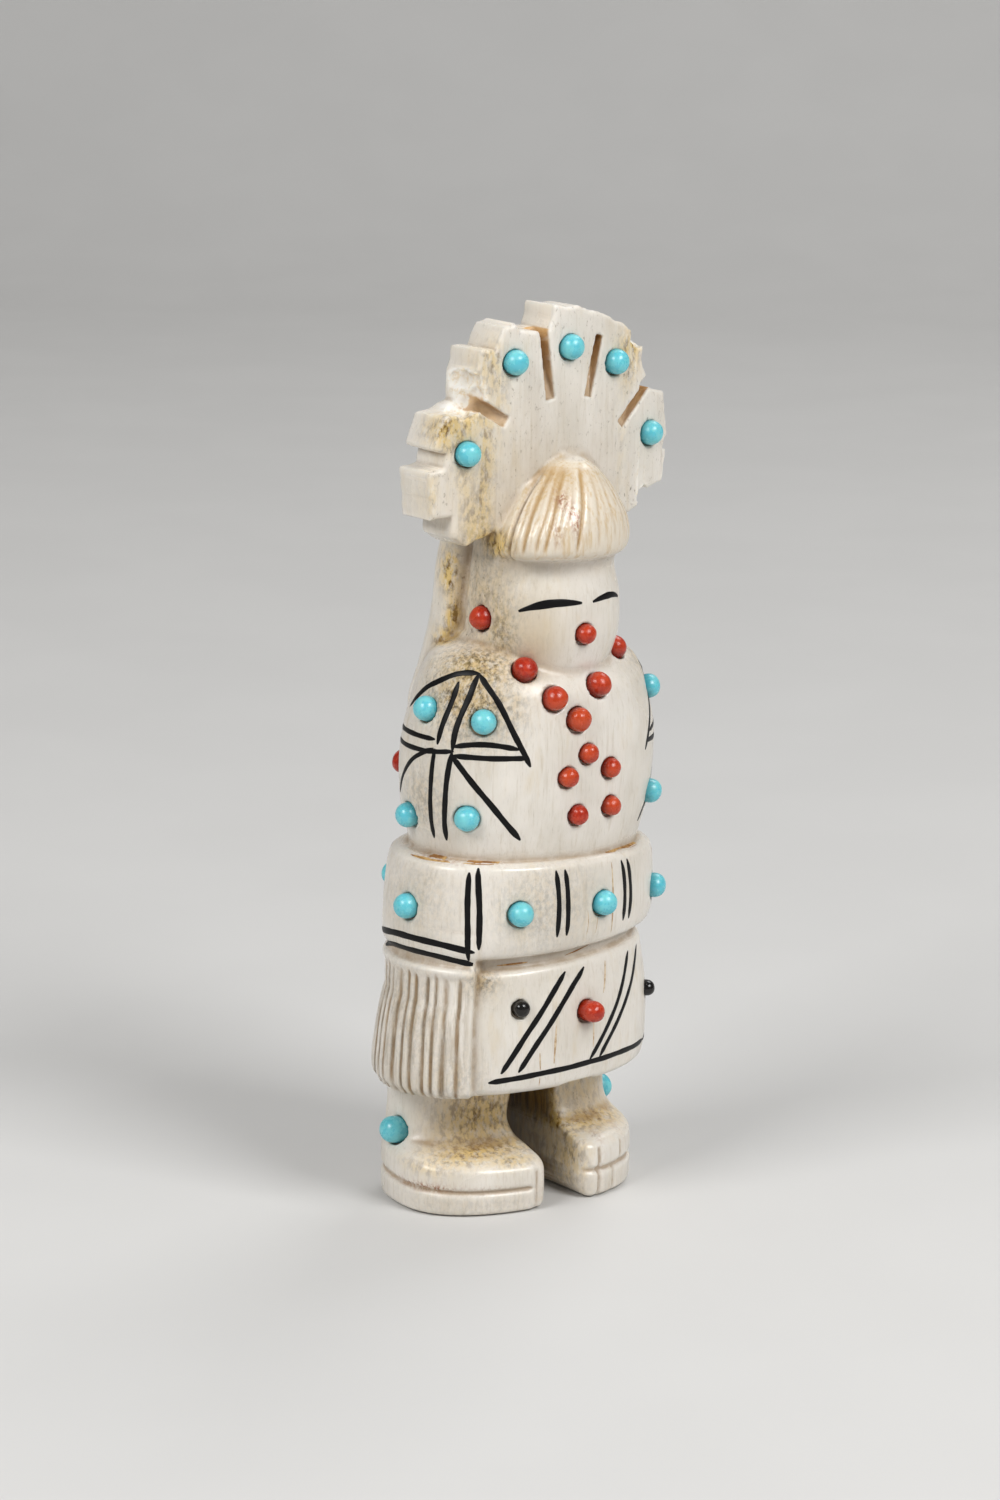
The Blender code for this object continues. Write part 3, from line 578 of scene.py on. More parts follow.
def sash_field(x, y, z):
    """The fringed panel over the right hip, standing proud of the skirt and flush with the belt."""
    half, front, back, squareness = section_fields(SKIRT, z)
    down = np.clip((SASH_TOP - z) / (SASH_TOP - SASH_BOTTOM_FRONT), 0, 1)
    near_top = np.maximum(1 - down / SASH_MIDDLE, 0)
    near_bottom = np.maximum((down - SASH_MIDDLE) / (1 - SASH_MIDDLE), 0)
    angle = oval_angle(x, y, half, front, back, squareness)
    across = np.clip((angle - SASH_FRONT_ANGLE) / (SASH_BACK_ANGLE - SASH_FRONT_ANGLE), 0, 1)
    top, middle, low = (a + (b - a) * across for a, b in zip(SASH_PROUD_FRONT, SASH_PROUD_BACK))
    proud = middle + (top - middle) * near_top + (low - middle) * near_bottom
    proud = proud + SEAM_FILL * ease(*SEAM_FILL_START, z) * ease(*SEAM_FILL_END, z)
    outer = oval_field(x, y, half, front, back, squareness) - proud + strand_relief(angle, z)
    edges = np.maximum(angle - SASH_FRONT_ANGLE, SASH_BACK_ANGLE - angle) * SKIRT_ARC
    bottom = SASH_BOTTOM_FRONT + (SASH_BOTTOM_BACK - SASH_BOTTOM_FRONT) * across
    ragged = 0.04 * np.sin(angle * 0.95) + 0.05 * np.sin(angle * 0.23)
    panel = smooth_max(outer, edges, 0.35)
    panel = smooth_max(panel, bottom + ragged - z, 0.5)
    panel = np.maximum(panel, -(outer + SASH_SINK))
    return np.maximum(panel, z - SASH_TOP)


def outline_field(outline, x, z):
    """The signed distance from points of a plane to a closed outline, negative inside."""
    nearest = np.full(np.broadcast(x, z).shape, 1e9, np.float32)
    inside = np.zeros(nearest.shape, bool)
    for (ax, az), (bx, bz) in zip(outline, outline[1:] + outline[:1]):
        ex, ez = bx - ax, bz - az
        t = np.clip(((x - ax) * ex + (z - az) * ez) / (ex * ex + ez * ez), 0, 1)
        nearest = np.minimum(nearest, (x - ax - t * ex) ** 2 + (z - az - t * ez) ** 2)
        crosses = (az > z) != (bz > z)
        inside ^= crosses & (x < ax + (z - az) * ex / (ez if ez else 1e-9))
    return np.sqrt(nearest) * np.where(inside, -1, 1)


def fan_face_y(x):
    """Where the fan's bowed front face is at x."""
    return FAN_FRONT + x * x / (2 * FAN_BOW_RADIUS)


def fan_outline():
    """The fan's rim as (x, z) points, up the steps of its right side and down those of its left."""
    rim = [(-reach, z) for step in RIGHT_STEPS for reach, z in (step[:2], step[2:])]
    return rim + [(reach, z) for step in reversed(LEFT_STEPS) for reach, z in (step[2:], step[:2])]


def fan_field(x, y, z):
    """The notched fan: its outline through its bowed thickness, with softened edges."""
    wobble = 0.06 * np.sin(x * 2.1 + z * 1.3) + 0.05 * np.sin(z * 3.1 - x * 1.7)
    rim = outline_field(fan_outline(), x + 0 * z, z + 0 * x) + 0.08 + wobble
    middle = fan_face_y(x) + FAN_THICKNESS / 2
    faces = np.abs(y - middle) - FAN_THICKNESS / 2
    return smooth_max(rim + 0 * faces, faces + 0 * rim, 0.5)


def chip_field(chip, x, y, z):
    """The rough hollow of a broken place."""
    (cx, cy, cz), (rx, ry, rz) = chip
    size = np.sqrt(((x - cx) / rx) ** 2 + ((y - cy) / ry) ** 2 + ((z - cz) / rz) ** 2)
    rough = 0.07 * np.sin(x * 2.3 + z * 1.9) + 0.05 * np.sin(y * 2.9 - x * 3.1)
    rough = rough + 0.03 * np.sin(z * 6.7 + y * 5.1)
    return (size - 1) * min(rx, ry, rz) + rough


def outer_end(cut):
    """The (x, z) point of a saw cut's outer end."""
    lean = math.radians(cut.lean)
    return cut.inner[0] + cut.length * math.sin(lean), cut.inner[1] + cut.length * math.cos(lean)


def saw_cut_place(cut, x, z):
    """How far points lie along a saw cut from its outer end, and how far to its side."""
    (ax, az), (bx, bz) = outer_end(cut), cut.inner
    ex, ez = (bx - ax) / cut.length, (bz - az) / cut.length
    return (x - ax) * ex + (z - az) * ez, (x - ax) * ez - (z - az) * ex


def saw_cut_share(cut, x, z):
    """How far along a saw cut points are, from 0 at its outer end to 1 at its inner end."""
    return np.clip(saw_cut_place(cut, x, z)[0] / cut.length, 0, 1)


def saw_cut_field(cut, x, y, z):
    """A straight slot with square ends and a sloping floor, shallow at its inner end."""
    along, across = saw_cut_place(cut, x, z)
    over = cut.width / 4
    ends = np.maximum(-over - along, along - cut.length - over)
    walls = np.maximum(np.abs(across) - cut.width / 2, ends)
    floor = y - fan_face_y(x) - cut.depth - (SAW_CUT_SHALLOW - cut.depth) * saw_cut_share(cut, x, z)
    return smooth_max(walls + 0 * floor, floor + 0 * walls, 0.15)


def groove(distance, width, depth):
    """The depth of a round-bottomed groove at a distance from its line."""
    return depth * np.exp(-((distance / width) ** 2))


# The length along the feet's outline of one degree of its angle.
TOE_ARC = 0.2
SOLE_GROOVE_HEIGHT = 2.85
SOLE_GROOVE_WIDTH = 0.3
SOLE_GROOVE_DEPTH = 0.42
# A groove between two toes: its angle, its depth, and whether it shows on the upper, on the sole or on both.
ToeGroove = namedtuple("ToeGroove", "angle depth where")
TOE_GROOVES = rows_of(ToeGroove,
    (-3.8, 0.3, "both"),
    (23.5, 0.36, "both"),
    (42.0, 0.32, "upper"),
    (62.0, 0.24, "both"),
    (34.5, 0.28, "sole"),
)
TOE_GROOVE_WIDTH = 0.2
TOE_GROOVE_TOP = 5.6


def foot_relief(angle, z):
    """The groove over each sole and the grooves between the toes, on the straight feet."""
    right_side = ease(-156, -146, angle) * ease(-3.5, -7.0, angle)
    left_side = ease(14, 18, angle) * ease(154, 146, angle)
    sole = groove(z - SOLE_GROOVE_HEIGHT, SOLE_GROOVE_WIDTH, SOLE_GROOVE_DEPTH)
    depth = sole * np.maximum(right_side, left_side)
    low = ease(TOE_GROOVE_TOP, TOE_GROOVE_TOP - 1, z)
    shown = {"both": 1, "upper": ease(2.7, 3.0, z), "sole": ease(2.9, 2.6, z)}
    for row in TOE_GROOVES:
        across = (angle - row.angle) * TOE_ARC
        depth = depth + groove(across, TOE_GROOVE_WIDTH, row.depth) * low * shown[row.where]
    return depth


def feet_field(x, y, z):
    """Both feet and legs as one form, before the gap parts them."""
    fx, fy, fz = straight_foot(x, y, z)
    return loft_field(FEET, fx, fy, fz, 0.7, foot_relief)


def gap_field(x, y, z):
    """The gap between the legs and feet, a little wider at the ankles than at the toes."""
    ankle = ease(5.0, 9.0, z)
    right = GAP_RIGHT + 0.25 - 0.35 * ankle
    left = GAP_LEFT - 0.2 + 0.2 * ankle
    walls = np.maximum(right - x, x - left)
    return smooth_max(walls + 0 * y, z - GAP_TOP + 0 * walls, 1.4)


def all_beads():
    """Every bead: its name, stone, sizes, place on the surface and outward normal."""
    found = []
    for i, (x, z) in enumerate(FAN_BEADS, start=1):
        outward = Vector((x / FAN_BOW_RADIUS, -1.0, 0.0)).normalized()
        found.append((f"fan_bead_{i}", "turquoise", ROUND_BEAD, Vector((x, fan_face_y(x), z)), outward))
    for row in BEAD_ROWS:
        place = {SKIRT: seam_point, BELT: seam_point, FEET: foot_point}.get(row.sections, Vector)
        for i, (angle, z) in enumerate(row.spots, start=1):
            point, normal = surface_point(row.sections, angle, z, place)
            found.append((f"{row.name}_bead_{i}", row.stone, row.bead, point, normal))
    return found


def seat_field(bead, point, normal, x, y, z):
    """The round seat that a bead sits in."""
    point = point + SEAT_OFFSET
    rx, ry, rz = x - point.x, y - point.y, z - point.z
    along = rx * normal.x + ry * normal.y + rz * normal.z
    radial = np.sqrt(np.maximum(rx * rx + ry * ry + rz * rz - along * along, 0))
    return smooth_max(radial - bead.radius - SEAT_CLEARANCE, np.abs(along) - SEAT_DEPTH, 0.1)


def carve():
    """The distance field of the whole carving."""
    grid = Grid()
    parts = (
        (SKIRT, 0.7, 0.3),
        (BELT, 0.4, 0.3),
        (TORSO, 0.5, 0.35),
        (HEAD, 0.5, 0.8),
        (TEMPLES, 0.5, 1.6),
        (BACK_HAIR, 0.6, 0.7),
    )
    for sections, rounding, width in parts:
        cuts, (x, y, z) = grid.band(sections[0].z - MARGIN, sections[-1].z + MARGIN)
        if sections in (SKIRT, BELT):
            z = z - seam_rise(x, z)
        grid.add(cuts, loft_field(sections, x, y, z, rounding), width)
    cuts, (x, y, z) = grid.band(SASH_BOTTOM_BACK - SHORT_MARGIN, SASH_TOP + MARGIN)
    grid.add(cuts, sash_field(x, y, z), 0.25 + 0.9 * ease(30.0, 31.4, z))
    cuts, (x, y, z) = grid.band(min(z for _, z in fan_outline()) - SHORT_MARGIN, GRID_HIGH[2])
    grid.add(cuts, fan_field(x, y, z), 0.8)
    cuts, (x, y, z) = grid.band(BANGS[0].z - MARGIN, BANGS[-1].z + MARGIN)
    grid.add(cuts, loft_field(BANGS, straight_bangs_x(x, z), y, z, 1.5, comb_relief), 1.1)
    cuts, (x, y, z) = grid.band(-BEYOND, FEET[-1].z + SHORT_MARGIN)
    grid.add(cuts, feet_field(x, y, z), 0.4)
    grid.remove(cuts, gap_field(x, y, z), 0.5 + 1.7 * ease(13.4, 9.0, z))
    for cut in SAW_CUTS:
        xs, zs = (sorted(pair) for pair in zip(outer_end(cut), cut.inner))
        cuts, (x, y, z) = grid.block((xs[0] - 2, -BEYOND, zs[0] - 2), (xs[1] + 2, BEYOND, zs[1] + 2))
        grid.remove(cuts, saw_cut_field(cut, x, y, z), 0.12)
    for chip in CHIPS:
        middle, reach = np.array(chip.middle), np.array(chip.reach) + 1
        cuts, (x, y, z) = grid.block(middle - reach, middle + reach)
        grid.remove(cuts, chip_field(chip, x, y, z), 0.06)
    for _, _, bead, point, normal in all_beads():
        cuts, (x, y, z) = grid.block(point - SEAT_REACH, point + SEAT_REACH)
        grid.remove(cuts, seat_field(bead, point, normal, x, y, z), 0.1)
    return grid


# ------------------------------------------------------------------ from the field to a mesh

def add_object(name, data):
    """A new object in the scene."""
    made = bpy.data.objects.new(name, data)
    bpy.context.scene.collection.objects.link(made)
    return made


def mesh_from(name, bm, material):
    """A smooth mesh of one material from a bmesh, which it frees."""
    mesh = bpy.data.meshes.new(name)
    bm.to_mesh(mesh)
    bm.free()
    mesh.shade_smooth()
    mesh.materials.append(material)
    return mesh


def box_blur(values, cells):
    """The mean of a grid's values over a cube that reaches so many cells each way."""
    for axis in range(3):
        padding = [(0, 0)] * 3
        padding[axis] = (cells + 1, cells)
        total = np.cumsum(np.pad(values, padding, mode="edge"), axis=axis, dtype=np.float64)
        size = values.shape[axis]
        upper = np.take(total, range(2 * cells + 1, 2 * cells + 1 + size), axis=axis)
        lower = np.take(total, range(size), axis=axis)
        values = ((upper - lower) / (2 * cells + 1)).astype(np.float32)
    return values


def mesh_of(grid):
    """The zero surface of the field as a triangle mesh in upright millimetres, thinned where it is flat."""
    volume = openvdb.FloatGrid(FAR)
    volume.copyFromArray(grid.values)
    points, _, quads = volume.convertToPolygons(isovalue=0.0, adaptivity=0.0)
    points = points * GRID_PITCH + np.array(GRID_LOW)
    mesh = bpy.data.meshes.new("carving_raw")
    faces = quads[:, ::-1]
    mesh.vertices.add(len(points))
    mesh.vertices.foreach_set("co", points.astype(np.float32).ravel())
    mesh.loops.add(faces.size)
    mesh.loops.foreach_set("vertex_index", faces.astype(np.int32).ravel())
    mesh.polygons.add(len(faces))
    mesh.polygons.foreach_set("loop_start", np.arange(0, faces.size, 4, dtype=np.int32))
    mesh.update(calc_edges=True)
    made = add_object("carving_raw", mesh)
    thin = made.modifiers.new("thin", "DECIMATE")
    thin.ratio = MAX_TRIANGLES / (2 * len(faces))
    thin.use_collapse_triangulate = True
    ready = made.evaluated_get(bpy.context.evaluated_depsgraph_get())
    thinned = bpy.data.meshes.new_from_object(ready)
    bpy.data.objects.remove(made)
    bpy.data.meshes.remove(mesh)
    return thinned


LATTICE_CELLS = 64
LATTICE_OFFSET = 17.3


def lattice_noise(points, size, seed):
    """Smooth noise from -1 to 1 whose features are about size wide, along each axis."""
    lattice = np.random.default_rng(seed).uniform(-1, 1, (LATTICE_CELLS,) * 3)
    place = points / np.array(size) + LATTICE_OFFSET
    base = np.floor(place).astype(int)
    return blend_corners(lattice, base, ease(0, 1, place - base))


def skin(bm, rings):
    """Faces between rings of vertices, and one that closes the last ring."""
    for first, second in zip(rings, rings[1:]):
        for j in range(len(first)):
            bm.faces.new((first[j - 1], first[j], second[j], second[j - 1]))
    bm.faces.new(rings[-1])


def set_attribute(mesh, name, values):
    """Stores one number for each vertex, for the materials to read."""
    layer = mesh.attributes.new(name, "FLOAT", "POINT")
    layer.data.foreach_set("value", np.asarray(values, np.float32))


def coordinates(mesh):
    points = np.empty(len(mesh.vertices) * 3, np.float32)
    mesh.vertices.foreach_get("co", points)
    return points.reshape(-1, 3).astype(float)


# A stained place: its middle, how far it spreads along X, Y and Z, and its strength.
Stain = namedtuple("Stain", "middle spread strength")

# Grey-brown mottling, where the rough core of the antler was left unpolished; under the fan's lower lobe it
# is stain together with painted shade.
GREY_STAINS = rows_of(Stain,
    ((-8.4, -2.6, 70.6), (2.4, 4.0, 5.6), 0.52),
    ((-8.0, -5.6, 67.0), (1.6, 2.0, 4.0), 0.85),
    ((-11.0, -5.4, 63.4), (3.8, 4.4, 2.8), 1.15),
    ((-12.4, -6.0, 60.0), (3.4, 4.8, 3.6), 1.25),
    ((-9.4, -9.6, 59.6), (1.6, 2.4, 3.4), 0.6),
    ((-15.6, -2.6, 48.3), (1.3, 3.6, 3.4), 0.55),
    ((-11.6, -9.3, 28.6), (1.8, 1.7, 1.6), 0.9),
    ((-13.6, -7.2, 18.0), (2.6, 3.6, 2.6), 0.4),
    ((-6.0, -12.5, 37.0), (6.0, 2.4, 4.0), 0.42),
    ((-16.0, -3.0, 37.0), (2.0, 6.0, 4.0), 0.3),
    ((-16.0, -2.0, 22.0), (1.6, 5.0, 7.0), 0.35),
    # Under the fan's lower lobe: stain together with painted shade.
    ((-9.4, -4.6, 77.6), (3.0, 2.4, 1.2), 1.1),
    ((-8.0, -6.0, 1.2), (12.0, 9.0, 1.6), 0.22),
    ((-14.4, -4.6, 90.0), (1.8, 1.6, 1.4), 0.5),
    # Under the fan's lower lobe: stain together with painted shade.
    ((-8.6, -4.6, 76.0), (3.0, 2.0, 0.9), 0.7),
    ((9.0, -2.6, 70.6), (2.4, 4.0, 5.6), 0.8),
    ((12.2, -4.4, 62.4), (3.4, 4.2, 2.6), 0.7),
)

# Yellow and olive stains in the pores.
OCHRE_STAINS = rows_of(Stain,
    ((-15.2, -4.2, 89.9), (1.6, 1.6, 1.6), 1.5),
    ((-12.6, -5.0, 90.6), (2.4, 1.6, 1.3), 1.1),
    ((-9.5, -5.2, 88.8), (0.9, 1.5, 1.0), 0.6),
    ((-11.6, -5.0, 83.6), (4.4, 1.5, 2.6), 0.1),
    ((-8.6, -3.6, 69.6), (2.0, 3.5, 4.5), 0.3),
    ((-11.6, -4.8, 62.6), (3.4, 3.6, 1.6), 0.35),
    ((-13.5, -4.6, 85.1), (1.3, 1.5, 1.3), 0.55),
    ((-10.6, -5.0, 87.4), (1.2, 1.5, 1.9), 0.35),
    ((-17.2, -4.0, 83.0), (0.7, 0.8, 2.2), 0.75),
    ((-10.6, -5.2, 97.0), (1.1, 1.5, 2.4), 0.95),
    ((-9.2, -5.4, 94.0), (1.1, 1.5, 1.8), 0.7),
    ((9.2, -5.2, 98.0), (1.7, 1.5, 2.2), 1.1),
    ((8.9, -5.2, 86.0), (1.1, 1.2, 2.4), 0.7),
    # Under the fan's lower lobe: stain together with painted shade.
    ((-9.2, -5.0, 77.3), (2.6, 1.8, 1.1), 1.8),
    ((-9.4, 2.0, 73.0), (0.6, 1.4, 2.2), 1.5),
    ((-8.9, 0.8, 71.8), (0.9, 0.8, 1.6), 1.2),
    ((-8.9, 1.7, 67.6), (0.8, 0.9, 2.2), 1.6),
    ((-9.6, 2.2, 65.0), (0.9, 1.4, 1.3), 1.5),
    ((-7.6, -4.8, 6.9), (7.8, 2.6, 1.1), 1.0),
    ((-7.6, -3.4, 10.4), (7.6, 2.2, 4.2), 1.05),
    ((-5.2, -7.4, 6.0), (2.6, 2.0, 0.6), 0.8),
    ((-13.2, -2.6, 5.6), (2.2, 3.0, 0.8), 0.6),
    ((7.2, -5.6, 8.0), (5.2, 2.4, 1.0), 1.05),
    ((8.0, -4.4, 12.0), (5.6, 2.0, 3.4), 0.5),
    ((3.6, -5.0, 10.4), (0.8, 1.6, 5.0), 1.3),
    ((3.6, -6.4, 5.0), (0.9, 3.2, 3.4), 1.0),
    ((-9.0, 8.6, 8.0), (6.0, 1.5, 2.4), 0.7),
    ((8.4, 8.4, 8.6), (5.6, 1.5, 2.4), 0.7),
)

# Even warm tints.
WARM_STAINS = rows_of(Stain,
    ((-6.4, -9.4, 66.4), (2.8, 2.6, 3.8), 0.6),
    ((-11.6, -5.0, 82.4), (5.0, 1.8, 4.5), 0.35),
    ((-8.6, -4.0, 70.0), (2.4, 4.0, 5.0), 0.25),
    ((-8.0, -3.4, 10.4), (6.4, 3.0, 3.4), 0.45),
    ((7.6, -4.4, 10.4), (5.6, 3.0, 2.8), 0.3),
)

# Red-brown residue and streaks.
RUST_STAINS = rows_of(Stain,
    ((-14.6, -4.6, 41.9), (1.7, 3.2, 0.3), 0.7),
    ((-11.0, -9.2, 41.9), (2.4, 1.6, 0.26), 0.35),
    ((7.4, -10.9, 42.0), (3.0, 1.2, 0.28), 0.5),
    ((-13.8, -2.6, 3.4), (2.2, 3.2, 0.42), 1.4),
    ((-2.2, -10.6, 3.6), (0.3, 0.8, 3.0), 0.5),
    ((6.2, -8.8, 4.4), (0.5, 0.9, 3.6), 0.9),
    ((10.0, -7.8, 3.6), (0.5, 0.9, 3.6), 0.7),
    ((-9.4, -8.1, 3.4), (2.6, 1.6, 0.25), 0.4),
    ((-3.9, -10.4, 82.8), (0.5, 0.9, 1.5), 1.5),
    ((-3.2, -11.6, 80.8), (0.5, 0.9, 1.7), 1.5),
    ((-5.3, -11.2, 79.0), (0.4, 0.8, 1.1), 0.8),
    ((8.5, 9.6, 42.0), (3.4, 1.2, 0.35), 0.8),
)

# Pitted, porous places.
POROUS = rows_of(Stain,
    ((-8.6, -5.2, 7.4), (6.8, 3.0, 1.9), 0.5),
    ((-8.0, -4.0, 11.0), (6.4, 3.0, 4.2), 0.7),
    ((7.6, -5.6, 8.4), (6.0, 3.0, 1.9), 0.45),
    ((9.0, -4.0, 12.0), (6.0, 3.0, 4.2), 0.6),
    ((-9.0, -1.4, 70.0), (2.2, 5.4, 7.0), 1.0),
    ((-11.4, -3.0, 61.8), (3.6, 5.5, 3.4), 1.0),
    ((9.0, -1.4, 69.0), (2.5, 5.4, 7.0), 0.9),
    ((11.4, -3.0, 61.8), (3.6, 5.5, 3.0), 0.8),
    ((10.4, -5.0, 81.2), (1.8, 2.2, 1.5), 1.3),
    ((9.4, -5.0, 86.4), (1.6, 1.6, 3.2), 1.2),
    ((9.6, -5.0, 97.6), (2.2, 1.6, 2.6), 1.1),
    ((-12.6, -5.0, 83.4), (3.6, 1.6, 3.0), 0.6),
    ((-0.1, -5.8, 101.8), (2.6, 1.6, 1.2), 1.1),
    ((-15.0, -4.2, 88.9), (1.7, 1.8, 2.2), 1.2),
    ((-9.0, 8.0, 9.0), (7.0, 3.0, 6.0), 0.8),
    ((9.0, 8.0, 9.0), (7.0, 3.0, 6.0), 0.8),
)


def stain_at(points, stains):
    """The strength of a list of stains at points."""
    total = np.zeros(len(points))
    for stain in stains:
        away = (points - np.array(stain.middle)) / np.array(stain.spread)
        total = np.maximum(total, stain.strength * np.exp(-0.7 * (away**2).sum(axis=1)))
    return total


def cut_marks(x, y, z):
    """Where points lie in the saw cuts, strongest at their deep ends, and on the broken places."""
    sawn = np.zeros(len(x))
    for cut in SAW_CUTS:
        inside = ease(0.28, 0.1, saw_cut_field(cut, x, y, z)) * ease(0.1, 0.4, y - fan_face_y(x))
        sawn = np.maximum(sawn, inside * (1 - 0.45 * saw_cut_share(cut, x, z)))
    broken = np.zeros(len(x))
    for chip in CHIPS:
        broken = np.maximum(broken, ease(0.35, 0.15, chip_field(chip, x, y, z)))
    return sawn, broken


def bangs_marks(x, y, z):
    """Where points lie on the bangs, and how brown the combed grooves are there."""
    skewed = straight_bangs_x(x, z)
    shape = section_fields(BANGS, z)
    away = np.abs(oval_field(skewed, y, *shape))
    on_hair = ease(0.6, 0.2, away) * ease(75.2, 76.2, z) * ease(87.4, 86.8, z)
    on_hair = on_hair * ease(0.3, -0.3, y - fan_face_y(x))
    brown = np.clip(comb_marks(oval_angle(skewed, y, *shape), z, lambda comb: comb.brown), 0, 1)
    return on_hair, on_hair * brown * ease(0.9, 0.5, away)


def sash_marks(x, y, z):
    """How near points are to the bottom of a groove of the sash's fringe, and where they lie on it."""
    shape = section_fields(SKIRT, z)
    angle = oval_angle(x, y, *shape)
    on_sash = ease(SASH_BOTTOM_BACK - 1, SASH_BOTTOM_FRONT, z)
    for edge, inner in ((SASH_FRONT_ANGLE, SASH_FRONT_ANGLE - 3), (SASH_BACK_ANGLE, SASH_BACK_ANGLE + 3)):
        on_sash = on_sash * ease(edge, inner, angle)
    return on_sash * strand_grooves(angle, z), on_sash * ease(FRINGE_TOP, FRINGE_TOP - 2.4, z)


def surface_marks(grid, points):
    """What the carving's material reads at each point, by name."""
    clipped = np.clip(grid.values, -FIELD_LIMIT, FIELD_LIMIT)
    fine = grid.sample(box_blur(clipped, FINE_BLUR), points)
    broad = grid.sample(box_blur(clipped, BROAD_BLUR), points)
    x, y, z = points.T
    behind_face = y - fan_face_y(x)
    sawn, broken = cut_marks(x, y, z)
    on_hair, comb = bangs_marks(x, y, z)
    strand, fringe = sash_marks(x, y, z)
    fan_front = ease(78, 80, z) * ease(0.9, 0.4, behind_face) * (1 - on_hair) * (1 - sawn)
    fan_rim = ease(79, 81, z) * ease(0.4, 0.9, behind_face) * ease(0.5, 1.0, 5.4 - behind_face)
    porous = np.clip(np.maximum(stain_at(points, POROUS), 0.55 * fan_front), 0, 1.3)
    beside_gap = np.abs(x - (GAP_RIGHT + GAP_LEFT) / 2) - 2.5
    in_gap = ease(0.9, 0.3, beside_gap) * ease(GAP_TOP + 0.2, GAP_TOP - 0.6, z) * ease(12.0, 10.0, np.abs(y))
    return {
        "hollow": np.clip(-fine / 0.09, 0, 1) * (1 + 0.5 * ease(9, 6, z)) * (1 - broken),
        "edge": np.clip(fine / 0.12, 0, 1),
        # painted shade: how deep in a broad recess a point lies
        "shelter": np.clip(-broad / 0.3, 0, 1),
        "porous": porous * (1 - broken) * (1 - 0.8 * fan_rim),
        "grey": np.clip(stain_at(points, GREY_STAINS), 0, 1.15),
        "ochre": np.clip(stain_at(points, OCHRE_STAINS), 0, 1.3),
        "warm": stain_at(points, WARM_STAINS),
        "rust": np.clip(stain_at(points, RUST_STAINS), 0, 1),
        # painted shade: the gap between the legs, which the material darkens
        "gap": in_gap * ease(-8.0, -2.0, y),
        "hair": on_hair,
        "comb": comb,
        "strand": strand,
        "fringe": fringe,
        "sawn": sawn,
        "broken": broken,
        # painted light: the fan's side walls and top, which the material makes paler
        "rim": fan_rim * (1 - sawn) * (1 - broken),
    }


def roughened(mesh, points, porous, broken):
    """The mesh's points moved along its normals: waves all over, pits where porous, and rough breaks."""
    normals = np.empty(len(points) * 3, np.float32)
    mesh.vertices.foreach_get("normal", normals)
    lift = 0.045 * lattice_noise(points, 5.0, 3) + 0.02 * lattice_noise(points, 1.8, 4)
    pit = np.maximum(lattice_noise(points, (0.75, 0.75, 1.3), 5) - 0.42, 0)
    lift -= 0.34 * pit * porous + 0.03 * porous * (1 + lattice_noise(points, 0.6, 6))
    lift += broken * (0.16 * lattice_noise(points, 1.1, 8) + 0.12 * lattice_noise(points, 0.5, 9))
    above_ground = ease(0.1, 0.8, points[:, 2])
    return points + normals.reshape(-1, 3) * (lift * above_ground)[:, None]


def make_carving(grid):
    """The carving as one fine mesh, with the attributes that its material reads."""
    mesh = mesh_of(grid)
    points = coordinates(mesh)
    marks = surface_marks(grid, points)
    placed = to_frame(roughened(mesh, points, marks["porous"], marks["broken"]))
    low, high = (np.array(corner) for corner in cad_box)
    placed = np.clip(placed, low + BOX_MARGIN, high - BOX_MARGIN)
    mesh.vertices.foreach_set("co", placed.astype(np.float32).ravel())
    for name, values in marks.items():
        set_attribute(mesh, name, values)
    mesh.update()
    mesh.shade_smooth()
    mesh.materials.clear()
    mesh.materials.append(MATERIALS["antler"])
    return add_piece("carving_surface", mesh, "antler", "carving")


def add_piece(name, mesh, slot, *nodes):
    """A piece of the object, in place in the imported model's frame."""
    made = add_object(name, mesh)
    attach(made, "root")
    if nodes:
        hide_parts(*nodes)
    return made


# ------------------------------------------------------------------ stones

BEAD_SEGMENTS = 40
BEAD_RINGS = 14
BEAD_SEED = 100
UNEVENNESS = {"coral": 0.09, "turquoise": 0.03, "jet": 0.05}
# The share by which a stone is narrower than the CAD part's, and the waves round it, each by how many of
# them go round and how strong they are.
NARROWING = 0.012
WAVES = ((2, 0.5), (3, 0.35), (5, 0.25))


def bead_points(bead, seed, unevenness):
    """The rings of a polished stone's surface, from its crown to below the seat."""
    random = np.random.default_rng(seed)
    phases = random.uniform(0, 2 * math.pi, 4)
    tilt_x, tilt_y = random.uniform(-1, 1, 2) * unevenness
    rings = []
    for i in range(1, BEAD_RINGS + 1):
        turn = math.pi / 2 * i / BEAD_RINGS
        ring = []
        for j in range(BEAD_SEGMENTS):
            around = 2 * math.pi * j / BEAD_SEGMENTS
            wave = sum(
                share * math.sin(count * around + phase) for (count, share), phase in zip(WAVES, phases)
            )
            width = 1 - NARROWING - unevenness * 0.5 * (0.4 + wave)
            radius = bead.radius * width * math.sin(turn) ** 0.92
            shoulder = max(bead.head - bead.radius, 0.0)
            height = shoulder + (bead.head - shoulder) * math.cos(turn) ** 0.9
            x = radius * math.cos(around)
            y = radius * math.sin(around)
            height += (tilt_x * x + tilt_y * y) * 0.8 - unevenness * 1.2
            ring.append((x, y, min(height, bead.head)))
        rings.append(ring)
    rings.append([(x, y, -SEAT_DEPTH * 1.4) for x, y, _ in rings[-1]])
    return rings


